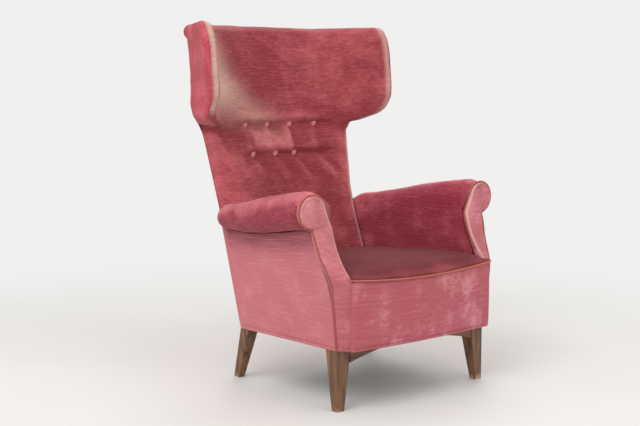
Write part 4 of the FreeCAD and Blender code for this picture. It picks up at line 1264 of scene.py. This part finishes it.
for sign, side in SIDES:
    facing_row_sewn = stitches(f"hem_stitches_facing_{side}", facing_hem * (sign, 1, 1),
                               facing_way * (sign, 1, 1))
    fitted(facing_row_sewn, hem_thread, "velvet")
    side_row_sewn = stitches(f"hem_stitches_side_{side}", side_hem * (sign, 1, 1), (float(sign), 0.0, 0.0))
    fitted(side_row_sewn, hem_thread, "velvet")


# The dust cover under the seat, with its tacks
# Plain black cotton, tacked to the rails all round and hanging a little between them.
lining = Finish("black_lining", 0.95, 0.1)
threads = lining.mottle(lining.place(cloth=True), (900, 900, 1), 2)
dusty = lining.mottle(lining.place(), (9, 9, 9), 4)
faded = lining.blend(lining.between(dusty, 0.35, 0.7), dye(36, 34, 34), dye(66, 62, 58))
lining.coloured(lining.blend(lining.between(threads, 0.4, 0.6, 0.0, 0.4), faded, dye(82, 78, 74)))
lining.raised(threads, 0.0003)
dust_rear = rear(HEM_Z) - 18
DUST_FRONT = -346
dust_y = np.concatenate([np.linspace(DUST_FRONT, -321, 8), np.linspace(-320.6, 41.6, 90),
                         np.linspace(42, dust_rear, 8)])
dust_half = np.interp(dust_y, (DUST_FRONT, -321, -320.6, 41.6, 42, 90), (243, 243, 284, 280, 247, 247))
across_share = np.linspace(-1, 1, 110)[None, :]
x = dust_half[:, None] * across_share
y = np.repeat(dust_y[:, None], 110, axis=1)
hang = rising(np.minimum(284 - np.abs(x), np.minimum(y - DUST_FRONT, dust_rear - y)), 12, 120)
lumps = unevenness(np.stack([x, y, 0 * x], axis=-1), 80, 71)
dust_points = np.stack([x, y, HEM_Z - 3.5 * hang + 0.5 * lumps * hang], axis=-1)
dust = thick(skin("black_under_cover", dust_points), 0.0008)
fitted(dust, lining, "lining_cloth", "dust_cover")
dress(["dust_cover_tacks"], metal("blued_tack", dye(44, 48, 60), dye(70, 66, 64), 0.4))


# The room
# A pale floor that runs into a pale background, under broad soft lamps, with the camera as in the
# photograph: low, at the chair's left front, through a longish lens.
def looked_at(nodes, links):
    """1 where a ray comes from the camera, straight, off a mirror or through glass, and 0 for light."""
    ray = nodes.new("ShaderNodeLightPath").outputs
    share = ray["Is Camera Ray"]
    for kind in ("Is Glossy Ray", "Is Transmission Ray"):
        more = nodes.new("ShaderNodeMath")
        more.operation = "MAXIMUM"
        links.new(share, more.inputs[0])
        links.new(ray[kind], more.inputs[1])
        share = more.outputs["Value"]
    return share


floor_finish = Finish("pale_floor", 0.6, 0.2)
place = floor_finish.place()
cloudy = floor_finish.mottle(place, (0.7, 0.7, 0.7), 3)
floor_finish.coloured(floor_finish.blend(floor_finish.between(cloudy, 0.3, 0.7), dye(222, 220, 217),
                                         dye(229, 227, 225)))
PALE_AIR = dye(240, 240, 239)
fade = floor_finish.nodes.new("ShaderNodeEmission")
fade.inputs["Color"].default_value = PALE_AIR
distance = floor_finish.nodes.new("ShaderNodeVectorMath")
distance.operation = "LENGTH"
floor_finish.links.new(place, distance.inputs[0])
share = floor_finish.times(floor_finish.between(distance.outputs["Value"], 0.7, 2.6),
                           looked_at(floor_finish.nodes, floor_finish.links))
faded = floor_finish.nodes.new("ShaderNodeMixShader")
floor_finish.links.new(share, faded.inputs["Fac"])
floor_finish.links.new(floor_finish.shader.outputs["BSDF"], faded.inputs[1])
floor_finish.links.new(fade.outputs["Emission"], faded.inputs[2])
floor_finish.links.new(faded.outputs["Shader"], floor_finish.nodes["Material Output"].inputs["Surface"])
floor_mesh = bpy.data.meshes.new("floor")
FLOOR_R = 30.0
ring = [(FLOOR_R * math.cos(a), FLOOR_R * math.sin(a), 0) for a in full_turn(64)]
floor_mesh.from_pydata(ring, [], [list(range(64))])
floor = placed("floor", floor_mesh)
floor.data.materials.append(floor_finish.material)

world = bpy.data.worlds.new("pale_room")
bpy.context.scene.world = world
world.use_nodes = True
air = world.node_tree
backdrop = air.nodes["Background"]
backdrop.inputs["Color"].default_value = dye(238, 238, 236)
backdrop.inputs["Strength"].default_value = 0.87
seen = air.nodes.new("ShaderNodeBackground")
seen.inputs["Color"].default_value = PALE_AIR
seen.inputs["Strength"].default_value = 1.0
either = air.nodes.new("ShaderNodeMixShader")
air.links.new(looked_at(air.nodes, air.links), either.inputs["Fac"])
air.links.new(backdrop.outputs["Background"], either.inputs[1])
air.links.new(seen.outputs["Background"], either.inputs[2])
air.links.new(either.outputs["Shader"], air.nodes["World Output"].inputs["Surface"])


def soft_lamp(name, place, aim, width, watts):
    """A broad lamp behind white cloth."""
    lamp = bpy.data.lights.new(name, "AREA")
    lamp.shape = "DISK"
    lamp.size = width
    lamp.energy = watts
    stand = placed(name, lamp)
    stand.location = place
    way = Vector(aim) - Vector(place)
    stand.rotation_mode = "QUATERNION"
    stand.rotation_quaternion = way.to_track_quat("-Z", "Y")


soft_lamp("key_lamp", (-2.5, -1.0, 3.1), (0, 0, 0.5), 2.6, 66)
soft_lamp("front_lamp", (0.4, -3.6, 2.6), (0, 0, 0.6), 2.6, 22)
soft_lamp("rear_lamp", (2.2, 1.6, 3.4), (0, 0, 0.6), 2.8, 29)

lens = bpy.data.cameras.new("camera")
camera = placed("camera", lens)
lens.sensor_width = 36.0
lens.lens = 64.8
camera.location = (-2.322, -2.716, 0.909)
camera.rotation_euler = (math.radians(83.5), 0, math.radians(-40))
bpy.context.scene.camera = camera
bpy.context.scene.view_settings.view_transform = "Standard"
